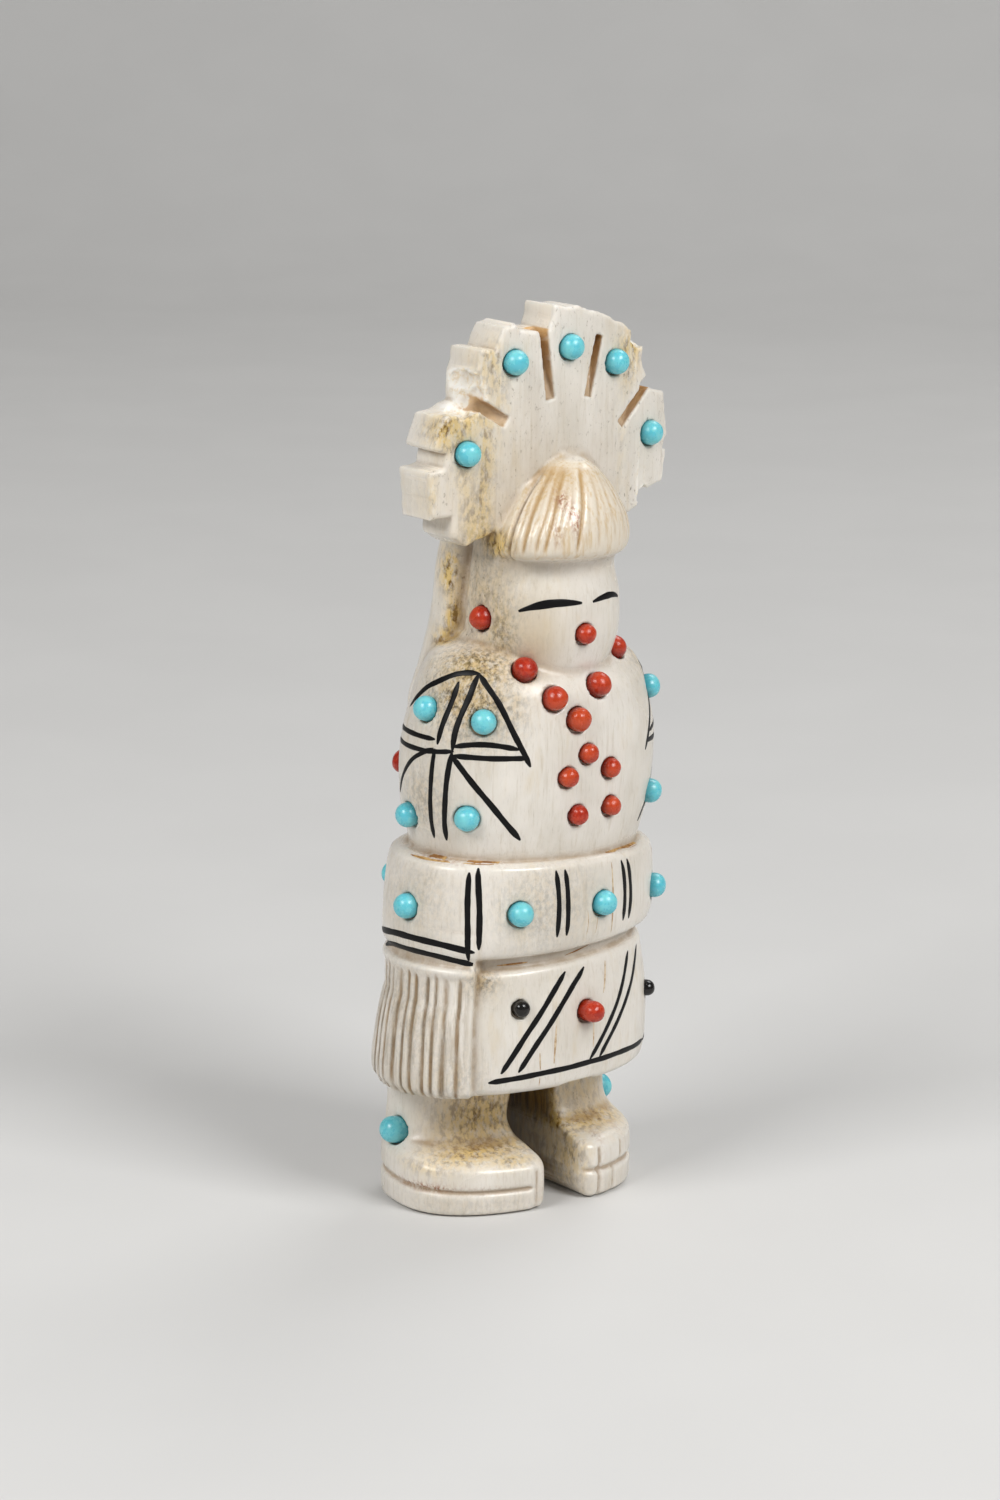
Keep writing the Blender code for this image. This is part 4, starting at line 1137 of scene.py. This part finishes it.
def make_bead(index, name, stone, bead, point, normal):
    """One stone, standing in its seat."""
    rings = bead_points(bead, BEAD_SEED + index, UNEVENNESS[stone])
    turn = normal.to_track_quat("Z", "Y").to_matrix()
    bm = bmesh.new()
    crown_height = sum(p[2] for p in rings[0]) / BEAD_SEGMENTS + 0.004
    crown = bm.verts.new((0, 0, min(crown_height, bead.head)))
    made = [[bm.verts.new(p) for p in ring] for ring in rings]
    for j in range(BEAD_SEGMENTS):
        bm.faces.new((crown, made[0][j], made[0][(j + 1) % BEAD_SEGMENTS]))
    skin(bm, made)
    local = np.array([v.co for v in bm.verts])
    world = to_frame([point + turn @ v.co for v in bm.verts])
    for vertex, place in zip(bm.verts, world):
        vertex.co = place
    bmesh.ops.recalc_face_normals(bm, faces=bm.faces)
    mesh = mesh_from(f"{name}_stone", bm, MATERIALS[stone])
    # Painted shade: how near each point is to the stone's base, where the material darkens it.
    set_attribute(mesh, "rim", ease(bead.head * 0.55, 0.0, local[:, 2]))
    add_piece(f"{name}_stone", mesh, stone, name)


# ------------------------------------------------------------------ ink

# A painted line: the body part it runs on, its two ends as an angle and a height, how far its middle bows
# away from the straight, also as an angle and a height, and its width.
Line = namedtuple("Line", "sections start finish bow width")
STRAIGHT = (0.0, 0.0)
SASH_HEAD = rows_of(Section,
    (28.0, 16.4, -12.8, 9.9),
    (34.0, 16.9, -13.1, 10.5),
)
RIGHT_SHOULDER = rows_of(Line,
    (TORSO, (-110, 58.0), (-57, 63.0), (0, 1.5), 0.68),
    (TORSO, (-58, 63.0), (-26, 53.0), (0, 1.0), 0.68),
    (TORSO, (-71, 62.0), (-77, 55.0), (-1, 0), 0.68),
    (TORSO, (-58, 63.0), (-67, 54.5), (-3, 0), 0.70),
    (TORSO, (-121, 55.5), (-79, 55.5), STRAIGHT, 0.58),
    (TORSO, (-121, 54.0), (-79, 54.0), STRAIGHT, 0.58),
    (TORSO, (-84, 54.0), (-66, 54.5), STRAIGHT, 0.58),
    (TORSO, (-67, 55.0), (-32, 55.0), (0, 0.5), 0.64),
    (TORSO, (-67, 54.0), (-27, 54.0), STRAIGHT, 0.64),
    (TORSO, (-78, 54.5), (-81, 44.0), STRAIGHT, 0.62),
    (TORSO, (-67, 54.5), (-72, 44.0), STRAIGHT, 0.66),
    (TORSO, (-79, 54.5), (-112, 48.0), (0, 1.0), 0.56),
    (TORSO, (-67, 54.0), (-30, 44.5), (0, 0.5), 0.70),
)
LEFT_SHOULDER_OFFSET = 12.0
BELT_PAIRS = (-11.0, 20.0, 73.0, 118.0, 173.0, -166.0)
BELT_PAIR_GAP = 4.0
SASH_PAIR_GAP = 1.5
HEM_START = -40.0
HEM_SIDE = 50.0
HEM_END = 210.0
FRONT_DIAGONALS = (-34.0, -26.0)
DIAGONAL_PAIRS = (66.0, 102.0, 134.0, 172.0)
DIAGONAL_PAIR_GAP = 6.0
DIAGONAL_RUN = 29.0
DIAGONAL_BOTTOM = 18.0
DIAGONAL_TOP = 29.0


def ink_lines():
    """Every painted line of the dress."""
    lines = list(RIGHT_SHOULDER)
    for sections, *ends, (turn, rise), width in RIGHT_SHOULDER:
        start, finish = ((LEFT_SHOULDER_OFFSET - angle, z) for angle, z in ends)
        lines.append(Line(sections, start, finish, (-turn, rise), width))
    lines.append(Line(BELT, (-53, 41.0), (-51, 32.0), STRAIGHT, 0.68))
    lines.append(Line(BELT, (-49, 41.5), (-46, 33.0), (1, 0), 0.7))
    for first in BELT_PAIRS:
        for angle in (first, first + BELT_PAIR_GAP):
            lines.append(Line(BELT, (angle - 1.5, 41.0), (angle, 33.5), (1, 0), 0.64))
    for drop in (0.0, SASH_PAIR_GAP):
        lines.append(Line(SASH_HEAD, (-122, 31.5 - drop), (-48, 32.0 - drop), (0, 1.0), 0.74))
    lines.append(Line(SKIRT, (HEM_START, 17.0), (HEM_SIDE, 17.5), (0, 0.5), 0.68))
    lines.append(Line(SKIRT, (HEM_SIDE, 17.5), (HEM_END, 17.0), STRAIGHT, 0.68))
    for angle in FRONT_DIAGONALS:
        top = (angle + DIAGONAL_RUN, DIAGONAL_TOP)
        lines.append(Line(SKIRT, (angle, DIAGONAL_BOTTOM), top, STRAIGHT, 0.68))
    lines.append(Line(SKIRT, (5, DIAGONAL_BOTTOM), (33, DIAGONAL_TOP), STRAIGHT, 0.62))
    lines.append(Line(SKIRT, (10, DIAGONAL_BOTTOM), (45, DIAGONAL_TOP), (-2, 0), 0.62))
    for first in DIAGONAL_PAIRS:
        for angle in (first, first + DIAGONAL_PAIR_GAP):
            top = (angle + DIAGONAL_RUN, DIAGONAL_TOP)
            lines.append(Line(SKIRT, (angle, DIAGONAL_BOTTOM), top, STRAIGHT, 0.56))
    return lines


EYES = rows_of(Line,
    (HEAD, (-64, 70.0), (-5, 71.0), (0, 0.5), 0.98),
    (HEAD, (3, 71.0), (42, 71.0), (0, 0.5), 0.9),
)


def line_path(line, spacing):
    """Points along a line from its start to its finish, each an angle and a height."""
    start, finish, bow = (np.array(place, float) for place in (line.start, line.finish, line.bow))
    shares = np.linspace(0, 1, max(4, int(np.linalg.norm(finish - start) / spacing)) + 1)
    return [start + (finish - start) * t + bow * 4 * t * (1 - t) for t in shares]


INK_HEIGHT = 0.035
INK_SINK = 0.08
PATH_STEP = 0.6
STROKE_STEP = 0.22
STROKE_SEED = 500
# The strokes are laid on the surface from this height over the plain form.
RAY_HEIGHT = 4.0
INK_PROFILE = ((-1.0, 0.0), (-0.8, 0.7), (-0.35, 1.0), (0.35, 1.0), (0.8, 0.7), (1.0, 0.0))


def ink_stroke(bm, tree, line, seed, taper):
    """One painted line as a thin closed ribbon that follows the surface."""
    random = np.random.default_rng(seed)
    phases = random.uniform(0, 6.28, 3)
    place = {SKIRT: seam_point, BELT: seam_point}.get(line.sections, Vector)
    path = [surface_point(line.sections, angle, z, place) for angle, z in line_path(line, PATH_STEP)]
    spots = [point for point, _ in path]
    lengths = np.cumsum([0.0] + [(b - a).length for a, b in zip(spots, spots[1:])])
    steps = max(6, int(lengths[-1] / STROKE_STEP))
    rings = []
    for i in range(steps + 1):
        reach = lengths[-1] * i / steps
        k = min(int(np.searchsorted(lengths, reach, side="right")) - 1, len(spots) - 2)
        share = (reach - lengths[k]) / max(lengths[k + 1] - lengths[k], 1e-6)
        middle = spots[k].lerp(spots[k + 1], share)
        outward = path[k][1].lerp(path[k + 1][1], share).normalized()
        along = (spots[k + 1] - spots[k]).normalized()
        sideways = outward.cross(along).normalized()
        end = min(reach, lengths[-1] - reach)
        width = line.width / 2 * min(1.0, (0.12 + end / (taper * 2.2)) ** 0.6)
        width *= 1 + 0.05 * math.sin(reach * 1.7 + phases[0]) + 0.02 * math.sin(reach * 4.1 + phases[1])
        middle = middle + sideways * 0.015 * math.sin(reach * 1.1 + phases[2])
        ring = []
        for offset, height in INK_PROFILE:
            start = middle + sideways * (offset * width)
            origin, below = (Vector(p) for p in to_frame([start + outward * RAY_HEIGHT, start]))
            direction = (below - origin).normalized()
            hit = tree.ray_cast(origin, direction, 2 * RAY_HEIGHT * MM)[0]
            if hit is None:
                return
            lift = INK_HEIGHT * height * min(1.0, end / 0.3 + 0.2) * MM
            ring.append((hit - direction * lift, hit + direction * INK_SINK * MM))
        rings.append([top for top, _ in ring] + [ring[-1][1], ring[0][1]])
    made = [[bm.verts.new(p) for p in ring] for ring in rings]
    skin(bm, made)
    bm.faces.new(reversed(made[0]))


# Hairline cracks along the grain, and then thin lines of residue in the creases.
CRACKS = rows_of(Line,
    (BELT, (12.5, 41.0), (13.5, 32.5), STRAIGHT, 0.24),
    (BELT, (5.0, 36.5), (5.0, 33.0), (0.5, 0), 0.14),
    (BELT, (1.0, 36.0), (1.0, 33.0), (0.5, 0), 0.12),
    (BELT, (62.0, 40.5), (62.0, 32.5), (0.5, 0), 0.16),
    (SKIRT, (14.5, 29.0), (12.0, 25.5), (0.5, 0), 0.34),
    (SKIRT, (-9.5, 23.0), (-10.0, 18.5), STRAIGHT, 0.34),
    (SKIRT, (-16.5, 20.0), (-16.0, 18.0), STRAIGHT, 0.28),
    (SKIRT, (-16.0, 17.0), (-16.0, 16.0), STRAIGHT, 0.24),
    (SKIRT, (6.5, 22.5), (6.5, 19.5), STRAIGHT, 0.26),
    (SKIRT, (120.0, 27.0), (120.5, 18.5), (1, 0), 0.2),
    (TORSO, (140.0, 56.0), (140.0, 44.0), (1, 0), 0.12),
)
RESIDUE = rows_of(Line,
    (TORSO, (-93.0, 42.0), (-68.0, 42.0), STRAIGHT, 0.14),
    (TORSO, (-61.0, 42.0), (-40.0, 42.0), STRAIGHT, 0.1),
    (TORSO, (14.0, 42.0), (44.0, 42.0), STRAIGHT, 0.13),
    (SKIRT, (-38.5, 30.5), (-22.0, 30.5), STRAIGHT, 0.24),
    (SKIRT, (-3.0, 30.5), (9.0, 31.0), STRAIGHT, 0.16),
)


def make_strokes(name, lines, carving, material, slot, taper):
    """All the strokes of one kind as one piece."""
    faces = [tuple(face.vertices) for face in carving.data.polygons]
    tree = BVHTree.FromPolygons([tuple(p) for p in coordinates(carving.data)], faces)
    bm = bmesh.new()
    for i, line in enumerate(lines):
        ink_stroke(bm, tree, line, STROKE_SEED + i, taper)
    bmesh.ops.recalc_face_normals(bm, faces=bm.faces)
    add_piece(name, mesh_from(name, bm, MATERIALS[material]), slot)


# ------------------------------------------------------------------ materials

class Graph:
    """Shorthand for building one material's node tree."""

    def __init__(self, name):
        self.material = bpy.data.materials.new(name)
        self.material.use_nodes = True
        self.tree = self.material.node_tree
        self.shader = self.tree.nodes["Principled BSDF"]
        place = self.node("TexCoord", "Object")
        self.place = self.node("VectorMath", 0, {"Vector": place, "Scale": 1 / MM}, operation="SCALE")

    def node(self, kind, output, inputs=None, **settings):
        """Adds a node with these inputs and settings, and gives one of its outputs."""
        made = self.tree.nodes.new(f"ShaderNode{kind}")
        for name, value in settings.items():
            setattr(made, name, value)
        for name, value in (inputs or {}).items():
            self.connect(made.inputs[name], value)
        return made.outputs[output]

    def connect(self, socket, value):
        if isinstance(value, bpy.types.NodeSocket):
            self.tree.links.new(value, socket)
        else:
            socket.default_value = value

    def attribute(self, name):
        return self.node("Attribute", "Fac", attribute_name=name)

    def math(self, operation, a, b, clamp=False):
        return self.node("Math", 0, {0: a, 1: b}, operation=operation, use_clamp=clamp)

    def times(self, a, b, clamp=False):
        return self.math("MULTIPLY", a, b, clamp)

    def plus(self, *terms, clamp=False):
        """The sum of two or more terms, held between 0 and 1 if clamp is set."""
        *first, last = terms
        return self.math("ADD", first[0] if len(first) == 1 else self.plus(*first), last, clamp)

    def noise(self, across, upward, detail, roughness, seed):
        """Noise with so many features per millimetre across the figure and up it."""
        start = (seed, seed * 1.7, seed * 0.6)
        scale = (across, across, upward)
        place = self.node("Mapping", 0, {"Vector": self.place, "Scale": scale, "Location": start})
        inputs = {"Vector": place, "Scale": 1.0, "Detail": detail, "Roughness": roughness}
        return self.node("TexNoise", "Fac", inputs)

    def range(self, value, low, high, to_low=0.0, to_high=1.0):
        """A value from low to high, taken smoothly to a new range."""
        names = ("Value", "From Min", "From Max", "To Min", "To Max")
        inputs = dict(zip(names, (value, low, high, to_low, to_high)))
        return self.node("MapRange", "Result", inputs, interpolation_type="SMOOTHSTEP")

    def patches(self, across, upward, detail, roughness, seed, *span):
        """Noise taken from a span of its values to 0 and 1, or to a new range."""
        return self.range(self.noise(across, upward, detail, roughness, seed), *span)

    def mix(self, factor, a, b):
        return self.node("Mix", 2, {"Factor": factor, 6: colour(a), 7: colour(b)}, data_type="RGBA")

    def paint(self, tone, over, mark, amount):
        """A tone with another one laid over it by an amount, where a mark shows."""
        return self.mix(self.times(mark, amount), tone, over)

    def bump(self, height, distance, strength):
        inputs = {"Height": height, "Distance": distance * MM, "Strength": strength}
        return self.node("Bump", "Normal", inputs)

    def set(self, **values):
        """Sets or connects sockets of the shader."""
        for name, value in values.items():
            socket = self.shader.inputs[name.replace("_", " ")]
            self.connect(socket, colour(value) if name == "Base_Color" else value)


def colour(value):
    """An sRGB colour of three numbers up to 255 as a linear colour, or a socket as it is."""
    if isinstance(value, bpy.types.NodeSocket):
        return value
    linear = [c / 255 / 12.92 if c <= 10 else ((c / 255 + 0.055) / 1.055) ** 2.4 for c in value]
    return (*linear, 1.0)


def antler_material():
    g = Graph("antler")
    names = "hollow edge shelter porous grey ochre warm rust gap hair comb strand fringe sawn broken rim"
    mark = {name: g.attribute(name) for name in names.split()}

    # The bone itself: clouds, long grain and faint yellowing, then its broken places, and painted light that
    # makes the fan's rim paler.
    cloud = g.noise(0.14, 0.09, 4, 0.6, 3)
    grain = g.noise(2.4, 0.16, 4, 0.6, 11)
    tone = g.mix(g.range(cloud, 0.3, 0.72), (230, 224, 215), (214, 207, 195))
    tone = g.paint(tone, (188, 174, 150), g.range(grain, 0.5, 0.78), 0.4)
    tone = g.paint(tone, (158, 146, 126), g.patches(7.0, 0.7, 3, 0.6, 21, 0.55, 0.75), 0.25)
    yellow = g.times(g.patches(0.5, 0.12, 4, 0.65, 31, 0.54, 0.76), 0.3)
    tone = g.mix(yellow, tone, (208, 188, 148))
    tone = g.paint(tone, (236, 231, 221), mark["edge"], 0.4)
    fracture = g.mix(g.patches(1.3, 1.3, 4, 0.7, 93, 0.45, 0.68), (247, 244, 237), (230, 214, 186))
    tone = g.paint(tone, fracture, mark["broken"], 0.9)
    # Painted light: the fan's side walls and top made paler and creamier, as if lit more strongly.
    tone = g.paint(tone, g.mix(yellow, (253, 243, 225), (236, 214, 176)), mark["rim"], 0.92)

    # The bangs: pale locks with brown dirt in the deeper grooves.
    locks = g.times(mark["hair"], g.patches(2.0, 0.18, 4, 0.65, 41, 0.46, 0.66))
    tone = g.paint(tone, (222, 207, 182), mark["hair"], 0.5)
    tone = g.paint(tone, (200, 168, 112), locks, 0.5)
    comb = g.times(mark["comb"], g.patches(0.6, 0.3, 3, 0.6, 43, 0.25, 0.5, 0.55, 1.0))
    tone = g.paint(tone, (178, 136, 62), comb, 0.9)

    # The fringe: grey-brown dirt in its grooves.
    strand_dirt = g.patches(0.9, 0.14, 4, 0.65, 47, 0.34, 0.6, 0.25, 1.0)
    strand = g.times(g.range(mark["strand"], 0.06, 0.5), strand_dirt)
    strand_tone = g.mix(g.patches(0.7, 0.1, 2, 0.5, 49, 0.42, 0.58), (134, 106, 70), (106, 94, 78))
    tone = g.paint(tone, strand_tone, strand, 0.95)
    fringe = g.times(mark["fringe"], g.patches(0.8, 0.09, 4, 0.6, 51, 0.46, 0.62))
    tone = g.paint(tone, (164, 150, 130), fringe, 0.5)

    # Stains: an even warm tint, and the others, which show through their own mottling.
    tone = g.mix(mark["warm"], tone, (192, 168, 128))
    mottle = g.patches(1.7, 1.2, 5, 0.75, 81, 0.36, 0.58)
    grey = g.times(mark["grey"], g.plus(g.times(mottle, 0.62), 0.38), clamp=True)
    grey_tone = g.mix(g.patches(1.9, 1.4, 4, 0.7, 83, 0.4, 0.62), (196, 173, 134), (88, 74, 48))
    tone = g.mix(grey, tone, grey_tone)
    mottle = g.patches(1.7, 0.8, 5, 0.72, 85, 0.36, 0.56)
    ochre = g.times(mark["ochre"], g.plus(g.times(mottle, 0.66), 0.32), clamp=True)
    ochre_tone = g.mix(g.patches(1.4, 0.8, 3, 0.6, 91, 0.44, 0.64), (218, 190, 126), (122, 92, 34))
    tone = g.mix(ochre, tone, ochre_tone)
    rust = g.times(mark["rust"], g.patches(2.4, 1.6, 4, 0.7, 87, 0.4, 0.6), clamp=True)
    tone = g.paint(tone, (150, 92, 56), rust, 0.85)

    # Dark specks in the porous core.
    speck = g.patches(2.6, 1.4, 4, 0.75, 71, 0.58, 0.7)
    specks = g.times(speck, g.plus(g.times(mark["porous"], 0.85), 0.03), clamp=True)
    tone = g.mix(specks, tone, (96, 72, 40))

    # The saw cuts' floors, and painted shade in a dark brown in the gap between the legs.
    sawn_tone = g.mix(g.patches(0.7, 0.7, 4, 0.6, 95, 0.3, 0.7), (216, 174, 112), (176, 126, 64))
    tone = g.paint(tone, sawn_tone, mark["sawn"], 0.95)
    # Painted shade: the gap between the legs darkened to a deep brown.
    painted_gap_shade_tone = g.mix(g.patches(1.4, 0.22, 4, 0.7, 97, 0.35, 0.65), (56, 38, 6), (114, 84, 24))
    tone = g.paint(tone, painted_gap_shade_tone, mark["gap"], 0.96)

    # Polishing residue in grooves and creases, then painted shade that darkens the broader recesses.
    residue = g.times(mark["hollow"], g.patches(0.5, 0.5, 4, 0.6, 101, 0.35, 0.6, 0.3, 1.0), clamp=True)
    tone = g.paint(tone, (150, 118, 78), residue, 0.55)
    # Painted shade: broad recesses darkened towards brown-grey.
    tone = g.paint(tone, (156, 132, 96), mark["shelter"], 0.22)

    # Porous, dirty and broken places are duller and rougher.
    rough = g.plus(
        g.times(mark["porous"], 0.32), 0.2, g.times(residue, 0.2), g.times(mark["grey"], 0.15),
        g.times(mark["broken"], 0.4), g.range(cloud, 0.3, 0.7, 0.0, 0.07), clamp=True,
    )
    dull = g.plus(
        g.times(specks, 0.4), g.times(grey, 0.22), g.times(ochre, 0.2), g.times(mark["gap"], 0.4),
        g.times(mark["broken"], 0.35), clamp=True,
    )
    pits = g.times(speck, g.times(g.times(mark["porous"], mark["porous"]), 0.9))
    ruggedness = g.plus(g.times(mark["porous"], 0.7), g.times(mark["broken"], 0.55))
    height = g.math("SUBTRACT", g.times(grain, 0.12), pits)
    height = g.plus(height, g.times(g.noise(3.0, 2.0, 3, 0.7, 111), ruggedness))
    g.set(
        Base_Color=tone, Roughness=rough, Normal=g.bump(height, 0.12, 0.8),
        Specular_IOR_Level=g.math("SUBTRACT", 0.5, dull, clamp=True), IOR=1.53,
        Subsurface_Weight=0.18, Subsurface_Scale=0.001, Subsurface_Radius=(1.0, 0.85, 0.65),
    )
    return g.material


def residue_material(name, pale, dark):
    """Dirt in a hairline or a crease, patchy along its length."""
    g = Graph(name)
    tone = g.mix(g.patches(0.9, 0.9, 4, 0.7, 19, 0.4, 0.6), pale, dark)
    rough = g.patches(2.0, 2.0, 2, 0.5, 37, 0.3, 0.7, 0.5, 0.7)
    g.set(Base_Color=tone, Roughness=rough, Normal=g.bump(g.noise(4.0, 4.0, 3, 0.6, 33), 0.03, 0.6), IOR=1.5)
    return g.material


def stone_material(name, cloud, tones, layers, gloss, grain, **body):
    """Polished stone: two clouded tones, layers over them, and a faint unevenness."""
    g = Graph(name)
    cloud = g.noise(*cloud)
    tone = g.mix(g.range(cloud, 0.35, 0.68), *tones)
    for over, amount, patches in layers:
        # A layer without patches of its own is painted shade, darker towards the stone's base.
        tone = g.paint(tone, over, g.patches(*patches) if patches else g.attribute("rim"), amount)
    noise, depth, strength = grain
    bump = g.bump(g.noise(*noise), depth, strength)
    g.set(Base_Color=tone, Roughness=g.range(cloud, 0.3, 0.7, *gloss), Normal=bump, **body)
    return g.material


def ink_material():
    g = Graph("ink")
    worn = g.patches(1.8, 1.8, 4, 0.7, 13, 0.6, 0.8)
    g.set(Base_Color=g.mix(worn, (7, 6, 7), (26, 23, 22)), Roughness=g.range(worn, 0.0, 1.0, 0.42, 0.6),
          Normal=g.bump(g.noise(3.0, 3.0, 3, 0.6, 23), 0.02, 0.5), Specular_IOR_Level=0.25, IOR=1.45)
    return g.material


def floor_material():
    g = Graph("floor")
    tone = g.mix(g.patches(0.03, 0.03, 2, 0.5, 1, 0.3, 0.7), (208, 207, 205), (210, 209, 207))
    g.set(Base_Color=tone, Roughness=0.8)
    return g.material


MATERIALS = {
    "antler": antler_material(),
    "turquoise": stone_material(
        "turquoise", (0.7, 0.7, 4, 0.6, 5), ((92, 192, 208), (120, 208, 214)),
        # Mottling, then painted shade in a darker teal towards the stone's base.
        (((70, 165, 170), 0.4, (1.6, 1.6, 5, 0.65, 15, 0.58, 0.72)), ((44, 128, 142), 0.55, None)),
        (0.22, 0.34), ((1.3, 1.3, 2, 0.5, 25), 0.03, 0.5),
        Subsurface_Weight=0.1, Subsurface_Scale=0.0005, IOR=1.6,
    ),
    "coral": stone_material(
        "coral", (0.9, 0.9, 4, 0.6, 7), ((158, 30, 12), (188, 54, 24)),
        (
            ((204, 82, 36), 0.6, (0.11, 0.11, 2, 0.5, 53, 0.4, 0.62)),
            ((218, 112, 72), 0.25, (4.5, 1.0, 3, 0.6, 17, 0.55, 0.75)),
            # Painted shade: a dark red towards the stone's base.
            ((104, 16, 10), 0.65, None),
        ),
        (0.2, 0.32), ((1.4, 1.4, 3, 0.55, 27), 0.09, 0.7),
        Subsurface_Weight=0.06, Subsurface_Scale=0.0005, IOR=1.5,
    ),
    "jet": stone_material(
        "jet", (0.9, 0.9, 4, 0.6, 9), ((9, 6, 4), (22, 17, 12)), (),
        (0.16, 0.26), ((1.5, 1.5, 3, 0.55, 29), 0.04, 0.5), IOR=1.5,
    ),
    "ink": ink_material(),
    "crack": residue_material("crack", (214, 194, 164), (178, 146, 110)),
    "residue": residue_material("residue", (196, 158, 100), (142, 94, 44)),
}

# ------------------------------------------------------------------ the setting

# The floor's edges in front, behind and to the sides of the figure, and its backdrop's height and bend,
# all in metres.
FLOOR_FRONT = -1.2
FLOOR_BACK = 1.1
FLOOR_SIDE = 2.2
BACKDROP_HEIGHT = 1.6
BACKDROP_BEND = 0.35
BACKDROP_STEPS = 12


def make_floor():
    """A pale floor that curves up into a backdrop."""
    bm = bmesh.new()
    profile = [(FLOOR_FRONT, 0.0)]
    for i in range(BACKDROP_STEPS + 1):
        turn = math.pi / 2 * i / BACKDROP_STEPS
        y = FLOOR_BACK - BACKDROP_BEND * (1 - math.sin(turn))
        profile.append((y, BACKDROP_BEND * (1 - math.cos(turn))))
    profile.append((FLOOR_BACK, BACKDROP_HEIGHT))
    heading = Matrix.Rotation(math.radians(CAMERA_AZIMUTH), 3, "Z")
    sides = (-FLOOR_SIDE, FLOOR_SIDE)
    rows = [[bm.verts.new(heading @ Vector((side, y, z))) for side in sides] for y, z in profile]
    for (a, b), (d, c) in zip(rows, rows[1:]):
        bm.faces.new((a, b, c, d))
    made = add_object("floor", mesh_from("floor", bm, floor_material()))


CAMERA_AZIMUTH = -39.0
CAMERA_HEIGHT_ANGLE = 13.5
CAMERA_ROLL = 0.9
CAMERA_DISTANCE = 0.5
CAMERA_TARGET = (-0.0017, 0.0025, 0.0521)
CAMERA_LENS = 105.0


def direction_from(azimuth, elevation):
    """The direction towards something seen at an azimuth from the front and an elevation."""
    a, e = math.radians(azimuth), math.radians(elevation)
    return Vector((math.sin(a) * math.cos(e), -math.cos(a) * math.cos(e), math.sin(e)))


def make_camera():
    """The camera at the photo's viewing angle, with a long lens."""
    data = bpy.data.cameras.new("camera")
    data.sensor_fit = "VERTICAL"
    data.sensor_width, data.sensor_height = 24.0, 36.0
    data.lens = CAMERA_LENS
    data.clip_start = 0.01
    camera = add_object("camera", data)
    back = direction_from(CAMERA_AZIMUTH, CAMERA_HEIGHT_ANGLE)
    camera.rotation_mode = "QUATERNION"
    turned = back.to_track_quat("Z", "Y").to_matrix() @ Matrix.Rotation(math.radians(CAMERA_ROLL), 3, "Z")
    camera.rotation_quaternion = turned.to_quaternion()
    camera.location = Vector(CAMERA_TARGET) + back * CAMERA_DISTANCE
    bpy.context.scene.camera = camera


LIGHT_TARGET = (0.0, 0.0, 0.05)
WORLD_STRENGTH = 0.22


def make_light(name, azimuth, elevation, distance, size, power):
    """A soft box that faces the figure's middle."""
    data = bpy.data.lights.new(name, "AREA")
    data.shape = "RECTANGLE"
    data.size, data.size_y = size
    data.energy = power
    light = add_object(name, data)
    towards = direction_from(azimuth, elevation)
    light.location = Vector(LIGHT_TARGET) + towards * distance
    light.rotation_mode = "QUATERNION"
    light.rotation_quaternion = towards.to_track_quat("Z", "Y")


def make_setting():
    """The floor, the camera and soft studio light."""
    make_floor()
    make_camera()
    make_light("left_key", -84, 38, 0.9, (0.4, 0.35), 4.3)
    make_light("right_key", 10, 42, 0.9, (0.4, 0.35), 5.3)
    make_light("back", 110, 50, 1.1, (0.5, 0.4), 2.9)
    world = bpy.data.worlds.new("studio")
    world.use_nodes = True
    background = world.node_tree.nodes["Background"].inputs
    background["Color"].default_value = (1, 1, 1, 1)
    background["Strength"].default_value = WORLD_STRENGTH
    bpy.context.scene.world = world
    bpy.context.scene.view_settings.view_transform = "Standard"


# ------------------------------------------------------------------ everything together

carving = make_carving(carve())
for index, (name, stone, bead, point, normal) in enumerate(all_beads()):
    make_bead(index, name, stone, bead, point, normal)
make_strokes("dress_ink", ink_lines(), carving, "ink", "jet", 0.5)
make_strokes("eye_ink", EYES, carving, "ink", "jet", 1.6)
make_strokes("crack_lines", CRACKS, carving, "crack", "antler", 1.2)
make_strokes("residue_lines", RESIDUE, carving, "residue", "antler", 0.8)
make_setting()
